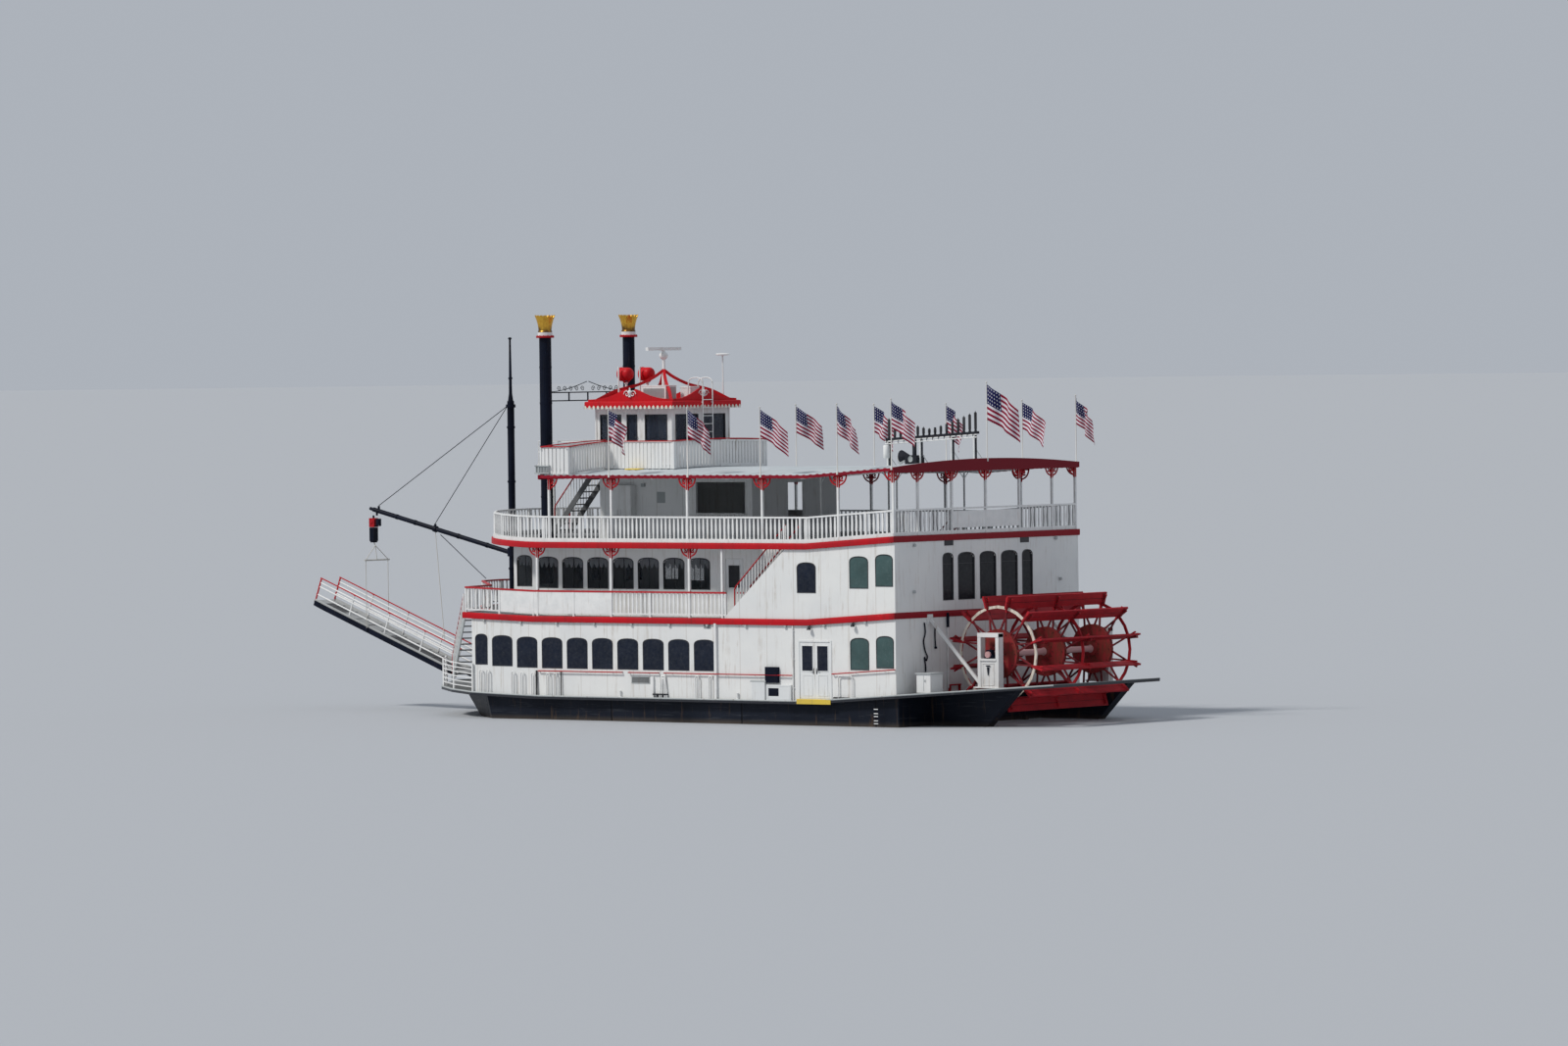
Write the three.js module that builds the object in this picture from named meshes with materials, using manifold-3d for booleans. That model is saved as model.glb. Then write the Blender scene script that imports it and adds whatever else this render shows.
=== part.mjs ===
// A stern-wheel river excursion boat, in millimetres, +X to the bow, +Y to port, +Z up.
// The origin is on the flat bottom of the hull, on the centreline, 10 m ahead of the stern wall.
import * as THREE from 'three';
import { mergeVertices } from 'three/addons/utils/BufferGeometryUtils.js';
import { ConvexGeometry } from 'three/addons/geometries/ConvexGeometry.js';
import Module from 'manifold-3d';

const wasm = await Module();
wasm.setup();

// Driving dimensions
const sternWallX = -10000;
const ahead = (fromSternWall) => sternWallX + fromSternWall;
const gap = 0.3;
const runningGap = 6;

const draft = 1000;
const halfBeam = 5390;
const guardY = 5450;
const wallY = 5330;
const wallThickness = 70;
const deckThickness = 120;

const mainDeckZ = draft + 870;
const secondDeckZ = draft + 3710;
const topDeckZ = draft + 6370;
const roofEdgeZ = draft + 8750;
const roofThickness = 70;
const roofCamber = 220;
const railHeight = 940;

const windowSill = 1000;
const windowHead = 2070;
const windowWidth = 920;
const windowPitch = 1175;

const wheelX = ahead(-2500);
const wheelZ = draft + 2500;
const wheelRadius = 2070;
const ringRadius = 1690;
const ringDepth = 100;
const hubRadius = 860;
const flangeY = 2740;
const bucketHalfLength = 2900;
const bucketCount = 12;
const bucketDepth = 440;
const shaftRadius = 110;
const wellHalfWidth = 3000;
const wellAftX = ahead(-4850);
const fantailAftX = ahead(-5150);

const cabinFrontX = ahead(19400);
const foreCabinY = 4200;
const foreCabinFrontX = ahead(18330);
const aftCabinFrontX = ahead(4750);
const stairHeadX = ahead(4800);
const stairFootX = ahead(7550);

const mastX = ahead(21970);
const mastRadius = 130;
const mastHeadZ = draft + 11700;
const boomHeelZ = draft + 5850;
const boomTip = [ahead(28760), 0, draft + 7400];
const stageHeel = [ahead(24260), 0, draft + 1390];
const stageTip = [ahead(31300), 0, draft + 4020];
const stageHalfWidth = 560;

const canopyFrontX = ahead(15800);
const pilotDeckZ = draft + 9070;
const pilotDeckThickness = 80;
const pilotHouse = { aft: ahead(12970), fore: ahead(16510), halfWidth: 1630, eaves: draft + 11180 };
const stackX = ahead(18260);
const stackY = 2370;
const stackRadius = 220;
const stackTopZ = draft + 14200;

// The sheer: every deck lifts from midships to the stern and a little to the bow
const sheerStations = [
  { x: fantailAftX - 200, lift: 640 },
  { x: sternWallX, lift: 260 },
  { x: ahead(3900), lift: 0 },
  { x: ahead(16500), lift: 0 },
  { x: ahead(24300), lift: 260 },
];

function sheer(x) {
  const last = sheerStations.length - 1;
  for (let i = 0; i < last; i += 1) {
    const a = sheerStations[i];
    const b = sheerStations[i + 1];
    if (x <= b.x || i === last - 1) {
      const t = Math.max(0, (x - a.x) / (b.x - a.x));
      return a.lift + (b.lift - a.lift) * Math.min(1, t);
    }
  }
  return 0;
}

// Solids from three.js geometry
function solid(geometry) {
  const bare = geometry.index ? geometry.toNonIndexed() : geometry.clone();
  bare.deleteAttribute('normal');
  bare.deleteAttribute('uv');
  const merged = mergeVertices(bare, 1e-3);
  return new wasm.Manifold(new wasm.Mesh({
    numProp: 3,
    vertProperties: new Float32Array(merged.attributes.position.array),
    triVerts: new Uint32Array(merged.index.array),
  }));
}

function join(list) {
  return list.reduce((sum, next) => sum.add(next));
}

function outline(points) {
  return new THREE.Shape(points.map(([a, b]) => new THREE.Vector2(a, b)));
}

function extruded(shape, depth) {
  return new THREE.ExtrudeGeometry(shape, { depth, bevelEnabled: false, curveSegments: 5 });
}

// Plan outline lifted from z0 to z1
function planPrism(points, z0, z1) {
  return solid(extruded(outline(points), z1 - z0).translate(0, 0, z0));
}

// Side view outline in X and Z, from y0 to the greater y1
function sidePrism(shape, y0, y1) {
  return solid(extruded(shape, y1 - y0).rotateX(Math.PI / 2).translate(0, y1, 0));
}

// End view outline in Y and Z, from x0 to the greater x1
function endPrism(shape, x0, x1) {
  const turn = new THREE.Matrix4().makeBasis(
    new THREE.Vector3(0, 1, 0), new THREE.Vector3(0, 0, 1), new THREE.Vector3(1, 0, 0));
  return solid(extruded(shape, x1 - x0).applyMatrix4(turn).translate(x0, 0, 0));
}

function box(x0, x1, y0, y1, z0, z1) {
  return solid(new THREE.BoxGeometry(x1 - x0, y1 - y0, z1 - z0)
    .translate((x0 + x1) / 2, (y0 + y1) / 2, (z0 + z1) / 2));
}

// Round bar between two points, its facets turned by half a facet where that is asked for
function rod(from, to, radius, sides = 10, halfFacet = false) {
  const a = new THREE.Vector3(...from);
  const b = new THREE.Vector3(...to);
  const along = b.clone().sub(a);
  const turn = new THREE.Quaternion().setFromUnitVectors(
    new THREE.Vector3(0, 1, 0), along.clone().normalize());
  const middle = a.add(b).multiplyScalar(0.5);
  return solid(new THREE.CylinderGeometry(radius, radius, along.length(), sides)
    .rotateY(halfFacet ? Math.PI / sides : 0).applyQuaternion(turn).translate(middle.x, middle.y, middle.z));
}

// Faceted bore that a shaft of the same facets turns in, with the running gap of a pin
function bore(from, to, shaftRadius, sides) {
  return rod(from, to, (shaftRadius + gap) / Math.cos(Math.PI / sides), sides, true);
}

// Square bar between two points, its width level and its height upright, run on past each end
function bar(from, to, width, height, overrun = 0) {
  const a = new THREE.Vector3(...from);
  const b = new THREE.Vector3(...to);
  const along = b.clone().sub(a).normalize();
  const side = new THREE.Vector3(-along.y, along.x, 0);
  if (side.lengthSq() < 1e-9) side.set(0, 1, 0);
  side.normalize();
  const up = along.clone().cross(side).normalize();
  const length = a.distanceTo(b) + 2 * overrun;
  const middle = a.add(b).multiplyScalar(0.5);
  const place = new THREE.Matrix4().makeBasis(along, side, up).setPosition(middle);
  return solid(new THREE.BoxGeometry(length, width, height).applyMatrix4(place));
}

// Skin over rings of equal size: end caps where it is open, none where it closes on itself
function loft(rings, closed = false) {
  const size = rings[0].length;
  const corners = rings.flat();
  const triangles = [];
  const spans = closed ? rings.length : rings.length - 1;
  for (let r = 0; r < spans; r += 1) {
    const next = ((r + 1) % rings.length) * size;
    for (let k = 0; k < size; k += 1) {
      const a = r * size + k;
      const b = r * size + ((k + 1) % size);
      const c = next + ((k + 1) % size);
      const d = next + k;
      triangles.push([a, b, c], [a, c, d]);
    }
  }
  if (!closed) {
    const end = (rings.length - 1) * size;
    const u = new THREE.Vector3(...rings[0][1]).sub(new THREE.Vector3(...rings[0][0])).normalize();
    const along = new THREE.Vector3(...rings[1][0]).sub(new THREE.Vector3(...rings[0][0]));
    const v = along.cross(u).normalize();
    const corner = rings[0].map((p) => new THREE.Vector3(...p));
    const flat = corner.map((p) => new THREE.Vector2(p.dot(u), p.dot(v)));
    for (const [a, b, c] of THREE.ShapeUtils.triangulateShape(flat, [])) {
      triangles.push([c, b, a], [end + a, end + b, end + c]);
    }
  }
  const geometry = new THREE.BufferGeometry();
  geometry.setAttribute('position', new THREE.BufferAttribute(new Float32Array(
    triangles.flat().flatMap((k) => corners[k])), 3));
  return solid(geometry);
}

// Level rail of a rectangular section along a plan path, mitred at each point and lifted by the sheer
function rail(path, deckZ, height, width, depth, closed = false) {
  const count = path.length;
  const rings = path.map(([x, y], i) => {
    const before = path[closed ? (i + count - 1) % count : Math.max(0, i - 1)];
    const after = path[closed ? (i + 1) % count : Math.min(count - 1, i + 1)];
    const into = new THREE.Vector2(x - before[0], y - before[1]);
    const out = new THREE.Vector2(after[0] - x, after[1] - y);
    if (into.length() < 1) into.copy(out);
    if (out.length() < 1) out.copy(into);
    const mitre = into.normalize().clone().add(out.normalize());
    const reach = (width / 2) / Math.cos(into.angleTo(out) / 2);
    const side = new THREE.Vector2(-mitre.y, mitre.x).normalize().multiplyScalar(reach);
    const low = deckZ + sheer(x) + height - depth;
    return [[x - side.x, y - side.y, low], [x + side.x, y + side.y, low],
      [x + side.x, y + side.y, low + depth], [x - side.x, y - side.y, low + depth]];
  });
  return loft(rings, closed);
}

// Turned piece about the upright line through (x, y): rows of [radius, z] from the foot up
function turned(x, y, rows, sides = 16) {
  const profile = rows.map(([radius, z]) => new THREE.Vector2(radius, z));
  return solid(new THREE.LatheGeometry(profile, sides).rotateX(Math.PI / 2).translate(x, y, 0));
}

const steamer = new THREE.Group();

function material(color, roughness = 0.6, metalness = 0) {
  return new THREE.MeshStandardMaterial({ color, roughness, metalness });
}

const white = material('#e9e9e4');
const red = material('#b5121b');
const black = material('#14171d', 0.5);
const gold = material('#c9962c', 0.35, 0.8);
const grey = material('#8d9295');
const ropeWhite = material('#dcdad2', 0.9);

function piece(name, shape, surface) {
  const { vertProperties, triVerts } = shape.getMesh();
  const geometry = new THREE.BufferGeometry();
  geometry.setAttribute('position', new THREE.BufferAttribute(new Float32Array(vertProperties), 3));
  geometry.setIndex(new THREE.BufferAttribute(new Uint32Array(triVerts), 1));
  const mesh = new THREE.Mesh(geometry, surface);
  mesh.name = name;
  steamer.add(mesh);
}

function mirrored(shape) {
  return shape.mirror([0, 1, 0]);
}

const sides = [
  { name: 'port', hand: (shape) => shape },
  { name: 'starboard', hand: mirrored },
];

// Band between two levels that follows the sheer, as a side view outline from x0 to x1
function sheerBand(x0, x1, lowZ, highZ) {
  const inner = sheerStations.map((station) => station.x).filter((x) => x > x0 && x < x1);
  const stations = [x0, ...inner, x1];
  const low = stations.map((x) => [x, lowZ + sheer(x)]);
  const high = stations.map((x) => [x, highZ + sheer(x)]).reverse();
  return [...low, ...high];
}

function mirrorOutline(half) {
  return [...half, ...half.filter(([, y]) => y > 0).map(([x, y]) => [x, -y]).reverse()];
}

// Deck: a plan outline cut from a band under the walking surface
function deck(half, topZ, thickness) {
  const xs = half.map(([x]) => x);
  const low = Math.min(...xs) - 10;
  const high = Math.max(...xs) + 10;
  const band = sidePrism(outline(sheerBand(low, high, topZ - thickness, topZ)), -guardY - 50, guardY + 50);
  return planPrism(mirrorOutline(half), topZ - thickness - 200, topZ + 900).intersect(band);
}

// Window with a low arched head, and a plain opening, as outlines of four corners and a curve
function archedHole(x0, x1, sill, head) {
  const crown = Math.min(170, (x1 - x0) * 0.3);
  const middle = (x0 + x1) / 2;
  const path = new THREE.Path();
  path.moveTo(x0, sill);
  path.lineTo(x1, sill);
  path.lineTo(x1, head - crown);
  path.quadraticCurveTo(x1, head, middle, head);
  path.quadraticCurveTo(x0, head, x0, head - crown);
  return path.getPoints(3).map(({ x, y }) => [x, y]);
}

function squareHole(x0, x1, z0, z1) {
  return [[x0, z0], [x1, z0], [x1, z1], [x0, z1]];
}

// Upright panels with their openings cut through
function sidePanel(points, holes, y0, y1) {
  const panel = sidePrism(outline(points), y0, y1);
  if (!holes.length) return panel;
  return panel.subtract(join(holes.map((hole) => sidePrism(outline(hole), y0 - 20, y1 + 20))));
}

function endPanel(points, holes, x0, x1) {
  const panel = endPrism(outline(points), x0, x1);
  if (!holes.length) return panel;
  return panel.subtract(join(holes.map((hole) => endPrism(outline(hole), x0 - 20, x1 + 20))));
}

// Hull: a flat-bottomed shell with raked bow, square transom and two tails beside the wheel
const hullTopZ = mainDeckZ - deckThickness - gap;
const hullHalfBeam = 5200;
const hullRows = [
  { x: sternWallX, halfWidth: hullHalfBeam, z: 0 },
  { x: ahead(18400), halfWidth: hullHalfBeam - 100, z: 0 },
  { x: ahead(20600), halfWidth: 900, z: 0 },
  { x: sternWallX, halfWidth: hullHalfBeam, z: 3200 },
  { x: ahead(19200), halfWidth: hullHalfBeam, z: 3200 },
  { x: ahead(24600), halfWidth: 900, z: 3200 },
];
const hullBlock = solid(new ConvexGeometry(hullRows.flatMap(({ x, halfWidth, z }) => [
  new THREE.Vector3(x, halfWidth, z), new THREE.Vector3(x, -halfWidth, z)])));
const underDeck = sidePrism(outline(sheerBand(fantailAftX, ahead(25000), -1800, hullTopZ)), -6000, 6000);
const tailSide = outline([
  [ahead(10), 0], [ahead(-1500), 0], [ahead(-2500), draft], [ahead(-4000), mainDeckZ + 600],
  [ahead(10), mainDeckZ + 600]]);
const tail = sidePrism(tailSide, wellHalfWidth + 50, wellHalfWidth + 450);
const tails = [tail, tail.mirror([0, 1, 0])];
const rudderY = 1600;
const rudderStockX = ahead(-330);
const stockRadius = 45;
const gudgeons = [rudderY, -rudderY].flatMap((y) => [draft + 60, hullTopZ - 60].map((z) => box(
  rudderStockX - 110, ahead(10), y - 110, y + 110, z - 50, z + 50)
  .subtract(bore([rudderStockX, y, z - 80], [rudderStockX, y, z + 80], stockRadius, 16))));
piece('hull', join([hullBlock, ...tails]).intersect(underDeck).add(join(gudgeons)), black);

// Twin rudders hung on the transom ahead of and below the wheel
for (const { name, hand } of sides) {
  const stock = rod([rudderStockX, rudderY, 160], [rudderStockX, rudderY, hullTopZ + 20], stockRadius, 16);
  const bladeSide = outline([[rudderStockX + 220, 140], [rudderStockX + 220, 880],
    [rudderStockX - 900, 880], [rudderStockX - 1000, 140]]);
  const blade = sidePrism(bladeSide, rudderY - 30, rudderY + 30);
  piece(`rudder_${name}`, hand(stock.add(blade)), black);
}

// Main deck with its guard, bow and the fantail frame around the wheel well
const mainHalf = [
  [fantailAftX, 0], [fantailAftX, 3120], [sternWallX, guardY], [ahead(19400), guardY],
  [ahead(20900), 4750], [ahead(22300), 3700], [ahead(23300), 2400], [ahead(23800), 1200], [ahead(24000), 0]];
const well = box(wellAftX, ahead(-120), -wellHalfWidth, wellHalfWidth, 0, 6000);
const cleatX = [10560, 2390];
const cleats = cleatX.flatMap((x) => [1, -1].flatMap((hand) => {
  const y = hand * (guardY - 60);
  return [bar([ahead(x - 330), y, mainDeckZ + 130], [ahead(x + 330), y, mainDeckZ + 130], 70, 50),
    ...[-110, 110].map((reach) => box(ahead(x + reach) - 40, ahead(x + reach) + 40, y - 30, y + 30,
      mainDeckZ - 20, mainDeckZ + 130))];
}));
piece('main_deck', join([deck(mainHalf, mainDeckZ, deckThickness).subtract(well), ...cleats]), black);

// Main cabin: long side walls with arched windows and a double door, a front and a stern wall
const cabinBase = (deckZ) => deckZ + gap;
const mainCeiling = secondDeckZ - deckThickness - gap;
const doorway = { aft: ahead(2900), fore: ahead(4260), low: mainDeckZ + 90, high: mainDeckZ + 2060 };
function arcade(firstForeEdge, count, deckZ) {
  return Array.from({ length: count }, (_, k) => {
    const fore = ahead(firstForeEdge - windowPitch * k);
    const lift = sheer(fore - windowWidth / 2);
    return archedHole(fore - windowWidth, fore, deckZ + windowSill + lift, deckZ + windowHead + lift);
  });
}
function aftWindows(deckZ) {
  return [[1200, 1980], [50 + 60, 830]].map(([a, b]) => {
    const lift = sheer(ahead((a + b) / 2));
    return archedHole(ahead(a), ahead(b), deckZ + windowSill + lift - 20, deckZ + windowHead + lift - 20);
  });
}
const mainSide = sheerBand(sternWallX, cabinFrontX, cabinBase(mainDeckZ), mainCeiling);
const mainHoles = [
  archedHole(ahead(18680), ahead(19220), mainDeckZ + windowSill + 90, mainDeckZ + windowHead + 90),
  ...arcade(18420, 9, mainDeckZ), ...aftWindows(mainDeckZ),
  squareHole(doorway.aft, doorway.fore, doorway.low, doorway.high)];
for (const { name, hand } of sides) {
  piece(`main_cabin_${name}`, hand(sidePanel(mainSide, mainHoles, wallY - wallThickness, wallY)), white);
}
const innerY = wallY - wallThickness - gap;
function crossWall(x0, x1, halfWidth, lowZ, highZ, holes) {
  const lift = Math.min(sheer(x0), sheer(x1));
  const liftHigh = Math.max(sheer(x0), sheer(x1));
  return endPanel([[-halfWidth, lowZ + liftHigh], [halfWidth, lowZ + liftHigh],
    [halfWidth, highZ + lift], [-halfWidth, highZ + lift]], holes, x0, x1);
}
piece('main_cabin_front', crossWall(cabinFrontX - wallThickness, cabinFrontX, innerY,
  cabinBase(mainDeckZ), mainCeiling, [
    squareHole(-800, 800, mainDeckZ + 200, mainDeckZ + 2150),
    archedHole(-3300, -2380, mainDeckZ + windowSill + 90, mainDeckZ + windowHead + 90),
    archedHole(2380, 3300, mainDeckZ + windowSill + 90, mainDeckZ + windowHead + 90)]), white);
piece('main_cabin_stern', crossWall(sternWallX, sternWallX + wallThickness, innerY,
  cabinBase(mainDeckZ), mainCeiling, []), white);

// Double doors amidships on each side, hinged at their outer edges
const leafThickness = 50;
const doorMiddle = (doorway.aft + doorway.fore) / 2;
const leaves = [
  { end: 'fore', x0: doorMiddle + runningGap / 2, x1: doorway.fore - runningGap },
  { end: 'aft', x0: doorway.aft + runningGap, x1: doorMiddle - runningGap / 2 },
];
for (const { name, hand } of sides) {
  for (const { end, x0, x1 } of leaves) {
    const leaf = squareHole(x0, x1, doorway.low + runningGap, doorway.high - runningGap);
    const pane = archedHole(x0 + 150, x1 - 150, doorway.low + 1000, doorway.high - 200);
    const hingeX = end === 'fore' ? x1 : x0;
    const knuckle = rod([hingeX, wallY, doorway.low + 40], [hingeX, wallY, doorway.high - 40],
      runningGap - gap, 8);
    const panel = sidePanel(leaf, [pane], wallY - leafThickness, wallY);
    piece(`door_${name}_${end}`, hand(panel.add(knuckle)), white);
  }
}

// Engine and drive set on the deck ahead of the stern wall, as one block
piece('engine', box(ahead(1500), ahead(4200), -900, 900, mainDeckZ + sheer(ahead(1500)) + gap,
  mainDeckZ + 1700), grey);

// Second deck with its pointed balcony over the bow
const secondHalf = [
  [sternWallX, 0], [sternWallX, halfBeam], [ahead(19750), halfBeam], [ahead(20150), 3400],
  [ahead(22400), 1300], [ahead(22650), 0]];
const mastHole = rod([mastX, 0, 0], [mastX, 0, 9000], mastRadius + gap, 16);
piece('second_deck', deck(secondHalf, secondDeckZ, deckThickness).subtract(mastHole), red);

// Second deck cabin: set back ahead with a walkway each side, full width aft
const secondCeiling = topDeckZ - deckThickness - gap;
const foreSide = sheerBand(aftCabinFrontX + gap, foreCabinFrontX, cabinBase(secondDeckZ), secondCeiling);
const foreHoles = [
  archedHole(ahead(17490), ahead(18150), secondDeckZ + windowSill + 60, secondDeckZ + windowHead + 60),
  ...arcade(17180, 7, secondDeckZ),
  squareHole(ahead(7710), ahead(8470), secondDeckZ + 100, secondDeckZ + 2050)];
const aftSide = [
  [sternWallX, cabinBase(secondDeckZ) + sheer(sternWallX)], [ahead(3900), cabinBase(secondDeckZ)],
  [stairFootX, cabinBase(secondDeckZ)], [stairFootX, secondDeckZ + 120], [stairHeadX, secondCeiling],
  [ahead(3900), secondCeiling], [sternWallX, secondCeiling + sheer(sternWallX)]];
const aftHoles = [...aftWindows(secondDeckZ), archedHole(
  ahead(3530), ahead(4320), secondDeckZ + windowSill - 40, secondDeckZ + windowHead - 90)];
for (const { name, hand } of sides) {
  const foreWall = sidePanel(foreSide, foreHoles, foreCabinY - wallThickness, foreCabinY);
  piece(`fore_cabin_${name}`, hand(foreWall), white);
  const flank = sidePanel(aftSide, aftHoles, wallY - wallThickness, wallY);
  const shoulder = box(aftCabinFrontX - wallThickness, aftCabinFrontX,
    foreCabinY - wallThickness, wallY - 10, cabinBase(secondDeckZ), secondCeiling);
  piece(`aft_cabin_${name}`, hand(flank.add(shoulder)), white);
}
piece('fore_cabin_front', crossWall(foreCabinFrontX - wallThickness, foreCabinFrontX,
  foreCabinY - wallThickness - gap, cabinBase(secondDeckZ), secondCeiling, [
    squareHole(-750, 750, secondDeckZ + 160, secondDeckZ + 2150),
    archedHole(-3000, -2080, secondDeckZ + windowSill + 60, secondDeckZ + windowHead + 60),
    archedHole(2080, 3000, secondDeckZ + windowSill + 60, secondDeckZ + windowHead + 60)]), white);
const sternWindows = [[-440, 440], [800, 1700], [-1700, -800], [2030, 2580], [-2580, -2030]];
piece('aft_cabin_stern', crossWall(sternWallX, sternWallX + wallThickness, innerY,
  cabinBase(secondDeckZ), secondCeiling, sternWindows.map(([y0, y1]) => archedHole(
    y0, y1, secondDeckZ + sheer(sternWallX) + 390, secondDeckZ + sheer(sternWallX) + 2000))), white);

// Top deck with its rounded front, open at the side stairs
const frontSteps = 6;
const frontCurve = Array.from({ length: frontSteps + 1 }, (_, k) => {
  const angle = (Math.PI / 2) * (1 - k / frontSteps);
  return [ahead(16000) + 5200 * Math.cos(angle), k === frontSteps ? 0 : halfBeam * Math.sin(angle)];
});
const topHalf = [[sternWallX, 0], [sternWallX, halfBeam], ...frontCurve];
const stairWell = box(stairHeadX, ahead(6900), foreCabinY + 30, wallY - 120, topDeckZ - 500, topDeckZ + 500);
piece('top_deck', deck(topHalf, topDeckZ, deckThickness)
  .subtract(stairWell).subtract(stairWell.mirror([0, 1, 0])), red);

// Stairs: stringers with treads between them, from a foot to a head point of the middle line,
// trimmed to the room between two decks and, where it is given, to what lies ahead of a face
function stair(foot, head, width, steps, lowZ, highZ, faceX = -20000) {
  const run = new THREE.Vector3(head[0] - foot[0], head[1] - foot[1], 0);
  const side = new THREE.Vector3(-run.y, run.x, 0).normalize();
  const parts = [1, -1].map((hand) => {
    const shift = side.clone().multiplyScalar(hand * (width / 2 - 20));
    return bar([foot[0] + shift.x, foot[1] + shift.y, foot[2]],
      [head[0] + shift.x, head[1] + shift.y, head[2]], 40, 200, 150);
  });
  for (let k = 1; k <= steps; k += 1) {
    const t = k / (steps + 1);
    const centre = [foot[0] + run.x * t, foot[1] + run.y * t, foot[2] + (head[2] - foot[2]) * t];
    const half = side.clone().multiplyScalar(width / 2 - 30);
    parts.push(bar([centre[0] - half.x, centre[1] - half.y, centre[2]],
      [centre[0] + half.x, centre[1] + half.y, centre[2]], 240, 40));
  }
  const room = sidePrism(outline(sheerBand(faceX, ahead(26000), lowZ + gap, highZ - gap)), 0, 6000);
  return join(parts).intersect(room);
}

// Handrails over both stringers of a stair, each on posts, between two shares of its run
const handrailHeight = 900;
function handrails(foot, head, width, from, to) {
  const run = new THREE.Vector3(head[0] - foot[0], head[1] - foot[1], 0);
  const side = new THREE.Vector3(-run.y, run.x, 0).normalize();
  const parts = [1, -1].flatMap((hand) => {
    const shift = side.clone().multiplyScalar(hand * (width / 2 - 20));
    const at = (t, up) => [foot[0] + run.x * t + shift.x, foot[1] + run.y * t + shift.y,
      foot[2] + (head[2] - foot[2]) * t + up];
    const posts = [from, to].map((t) => bar(at(t, 20), at(t, handrailHeight), 36, 36));
    return [bar(at(from, handrailHeight), at(to, handrailHeight), 50, 50, 40), ...posts];
  });
  return join(parts);
}
const stairY = (foreCabinY + wallY - wallThickness) / 2;
const sideFoot = [stairFootX - 60, stairY, secondDeckZ];
const sideHead = [stairHeadX, stairY, topDeckZ - 100];
const bowFoot = [ahead(21850), 3020, mainDeckZ + sheer(ahead(21850))];
const bowHead = [ahead(20160), 4190, secondDeckZ - deckThickness + sheer(ahead(20160))];
const sideWidth = 880;
const bowWidth = 900;
for (const { name, hand } of sides) {
  const sideFlight = stair(sideFoot, sideHead, sideWidth, 11, secondDeckZ, topDeckZ + gap, stairHeadX + gap);
  const sideRails = handrails(sideFoot, sideHead, sideWidth, 0.06, 0.93);
  piece(`side_stair_${name}`, hand(sideFlight.add(sideRails)), white);
  const bowFlight = stair(bowFoot, bowHead, bowWidth, 12, mainDeckZ, secondDeckZ - deckThickness);
  const bowRails = handrails(bowFoot, bowHead, bowWidth, 0.06, 0.8);
  piece(`bow_stair_${name}`, hand(bowFlight.add(bowRails)), white);
}

// Railings: posts, a cap and a foot rail along a plan path that follows the sheer
function railing(path, deckZ, closed = false) {
  const posts = path.map(([x, y]) => box(x - 30, x + 30, y - 30, y + 30,
    deckZ + Math.max(sheer(x - 30), sheer(x + 30)) + gap, deckZ + sheer(x) + railHeight - 20));
  return [rail(path, deckZ, railHeight, 70, 60, closed), rail(path, deckZ, 150, 50, 50, closed), ...posts];
}
const railY = halfBeam - 110;
function deckPost(x, y, lowZ, highZ) {
  const low = lowZ + Math.max(sheer(x - 45), sheer(x + 45)) + gap;
  const high = highZ + Math.min(sheer(x - 45), sheer(x + 45)) - gap;
  return box(x - 40, x + 40, y - 40, y + 40, low, high);
}
const breaks = [ahead(3900), ahead(16500)];
const secondPath = [[stairFootX + 60, railY], [breaks[1], railY], [ahead(19700), railY],
  [ahead(20080), 3450], [ahead(22330), 1290], [ahead(22560), 0]];
const bothSides = (half) => [...half, ...half.filter(([, y]) => y > 0).reverse().map(([x, y]) => [x, -y])];
const secondPosts = [7750, 9250, 12850, 16300].flatMap((x) => [1, -1].map((hand) => deckPost(
  ahead(x), hand * railY, secondDeckZ, topDeckZ - deckThickness)));
// Short posts between the tall ones, and a plain board between two levels of a side rail
const railPosts = (xs, deckZ) => xs.flatMap((x) => [1, -1].map((hand) => deckPost(
  ahead(x), hand * railY, deckZ, deckZ + railHeight - 20)));
const boardX = [12850, 18100];
const boards = [1, -1].map((hand) => {
  const y = hand * (railY + 10);
  const band = sheerBand(
    ahead(boardX[0]), ahead(boardX[1]), secondDeckZ + 130, secondDeckZ + railHeight - 40);
  return sidePrism(outline(band), y - 15, y + 15);
});
piece('second_railing', join([...railing(bothSides(secondPath), secondDeckZ), ...secondPosts,
  ...railPosts([11050, 14600, 18100], secondDeckZ), ...boards]), white);

const topPath = [[sternWallX + 70, railY], [breaks[0], railY],
  ...frontCurve.map(([x, y]) => [x - 60, (y * railY) / halfBeam])];
const topRing = bothSides(topPath);
const canopyUnderZ = roofEdgeZ - roofThickness;
const canopyPostX = [70, 2500, 5900, 9300, 12800, 15700];
const canopyPosts = canopyPostX.flatMap((x) => [1, -1].map((hand) => deckPost(
  ahead(x), hand * railY, topDeckZ, canopyUnderZ)));
const sternPosts = [3900, 1960, 0, -1960, -3900].map((y) => deckPost(ahead(70), y, topDeckZ, canopyUnderZ));
const sternBoardZ = topDeckZ + sheer(ahead(70));
const sternBoard = box(ahead(40), ahead(70), -1960, 1960, sternBoardZ + 230, sternBoardZ + 820);
piece('top_railing', join([...railing(topRing, topDeckZ, true), ...canopyPosts, ...sternPosts, sternBoard,
  ...railPosts([1280, 4200, 7600, 11050, 14250], topDeckZ)]), white);

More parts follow.
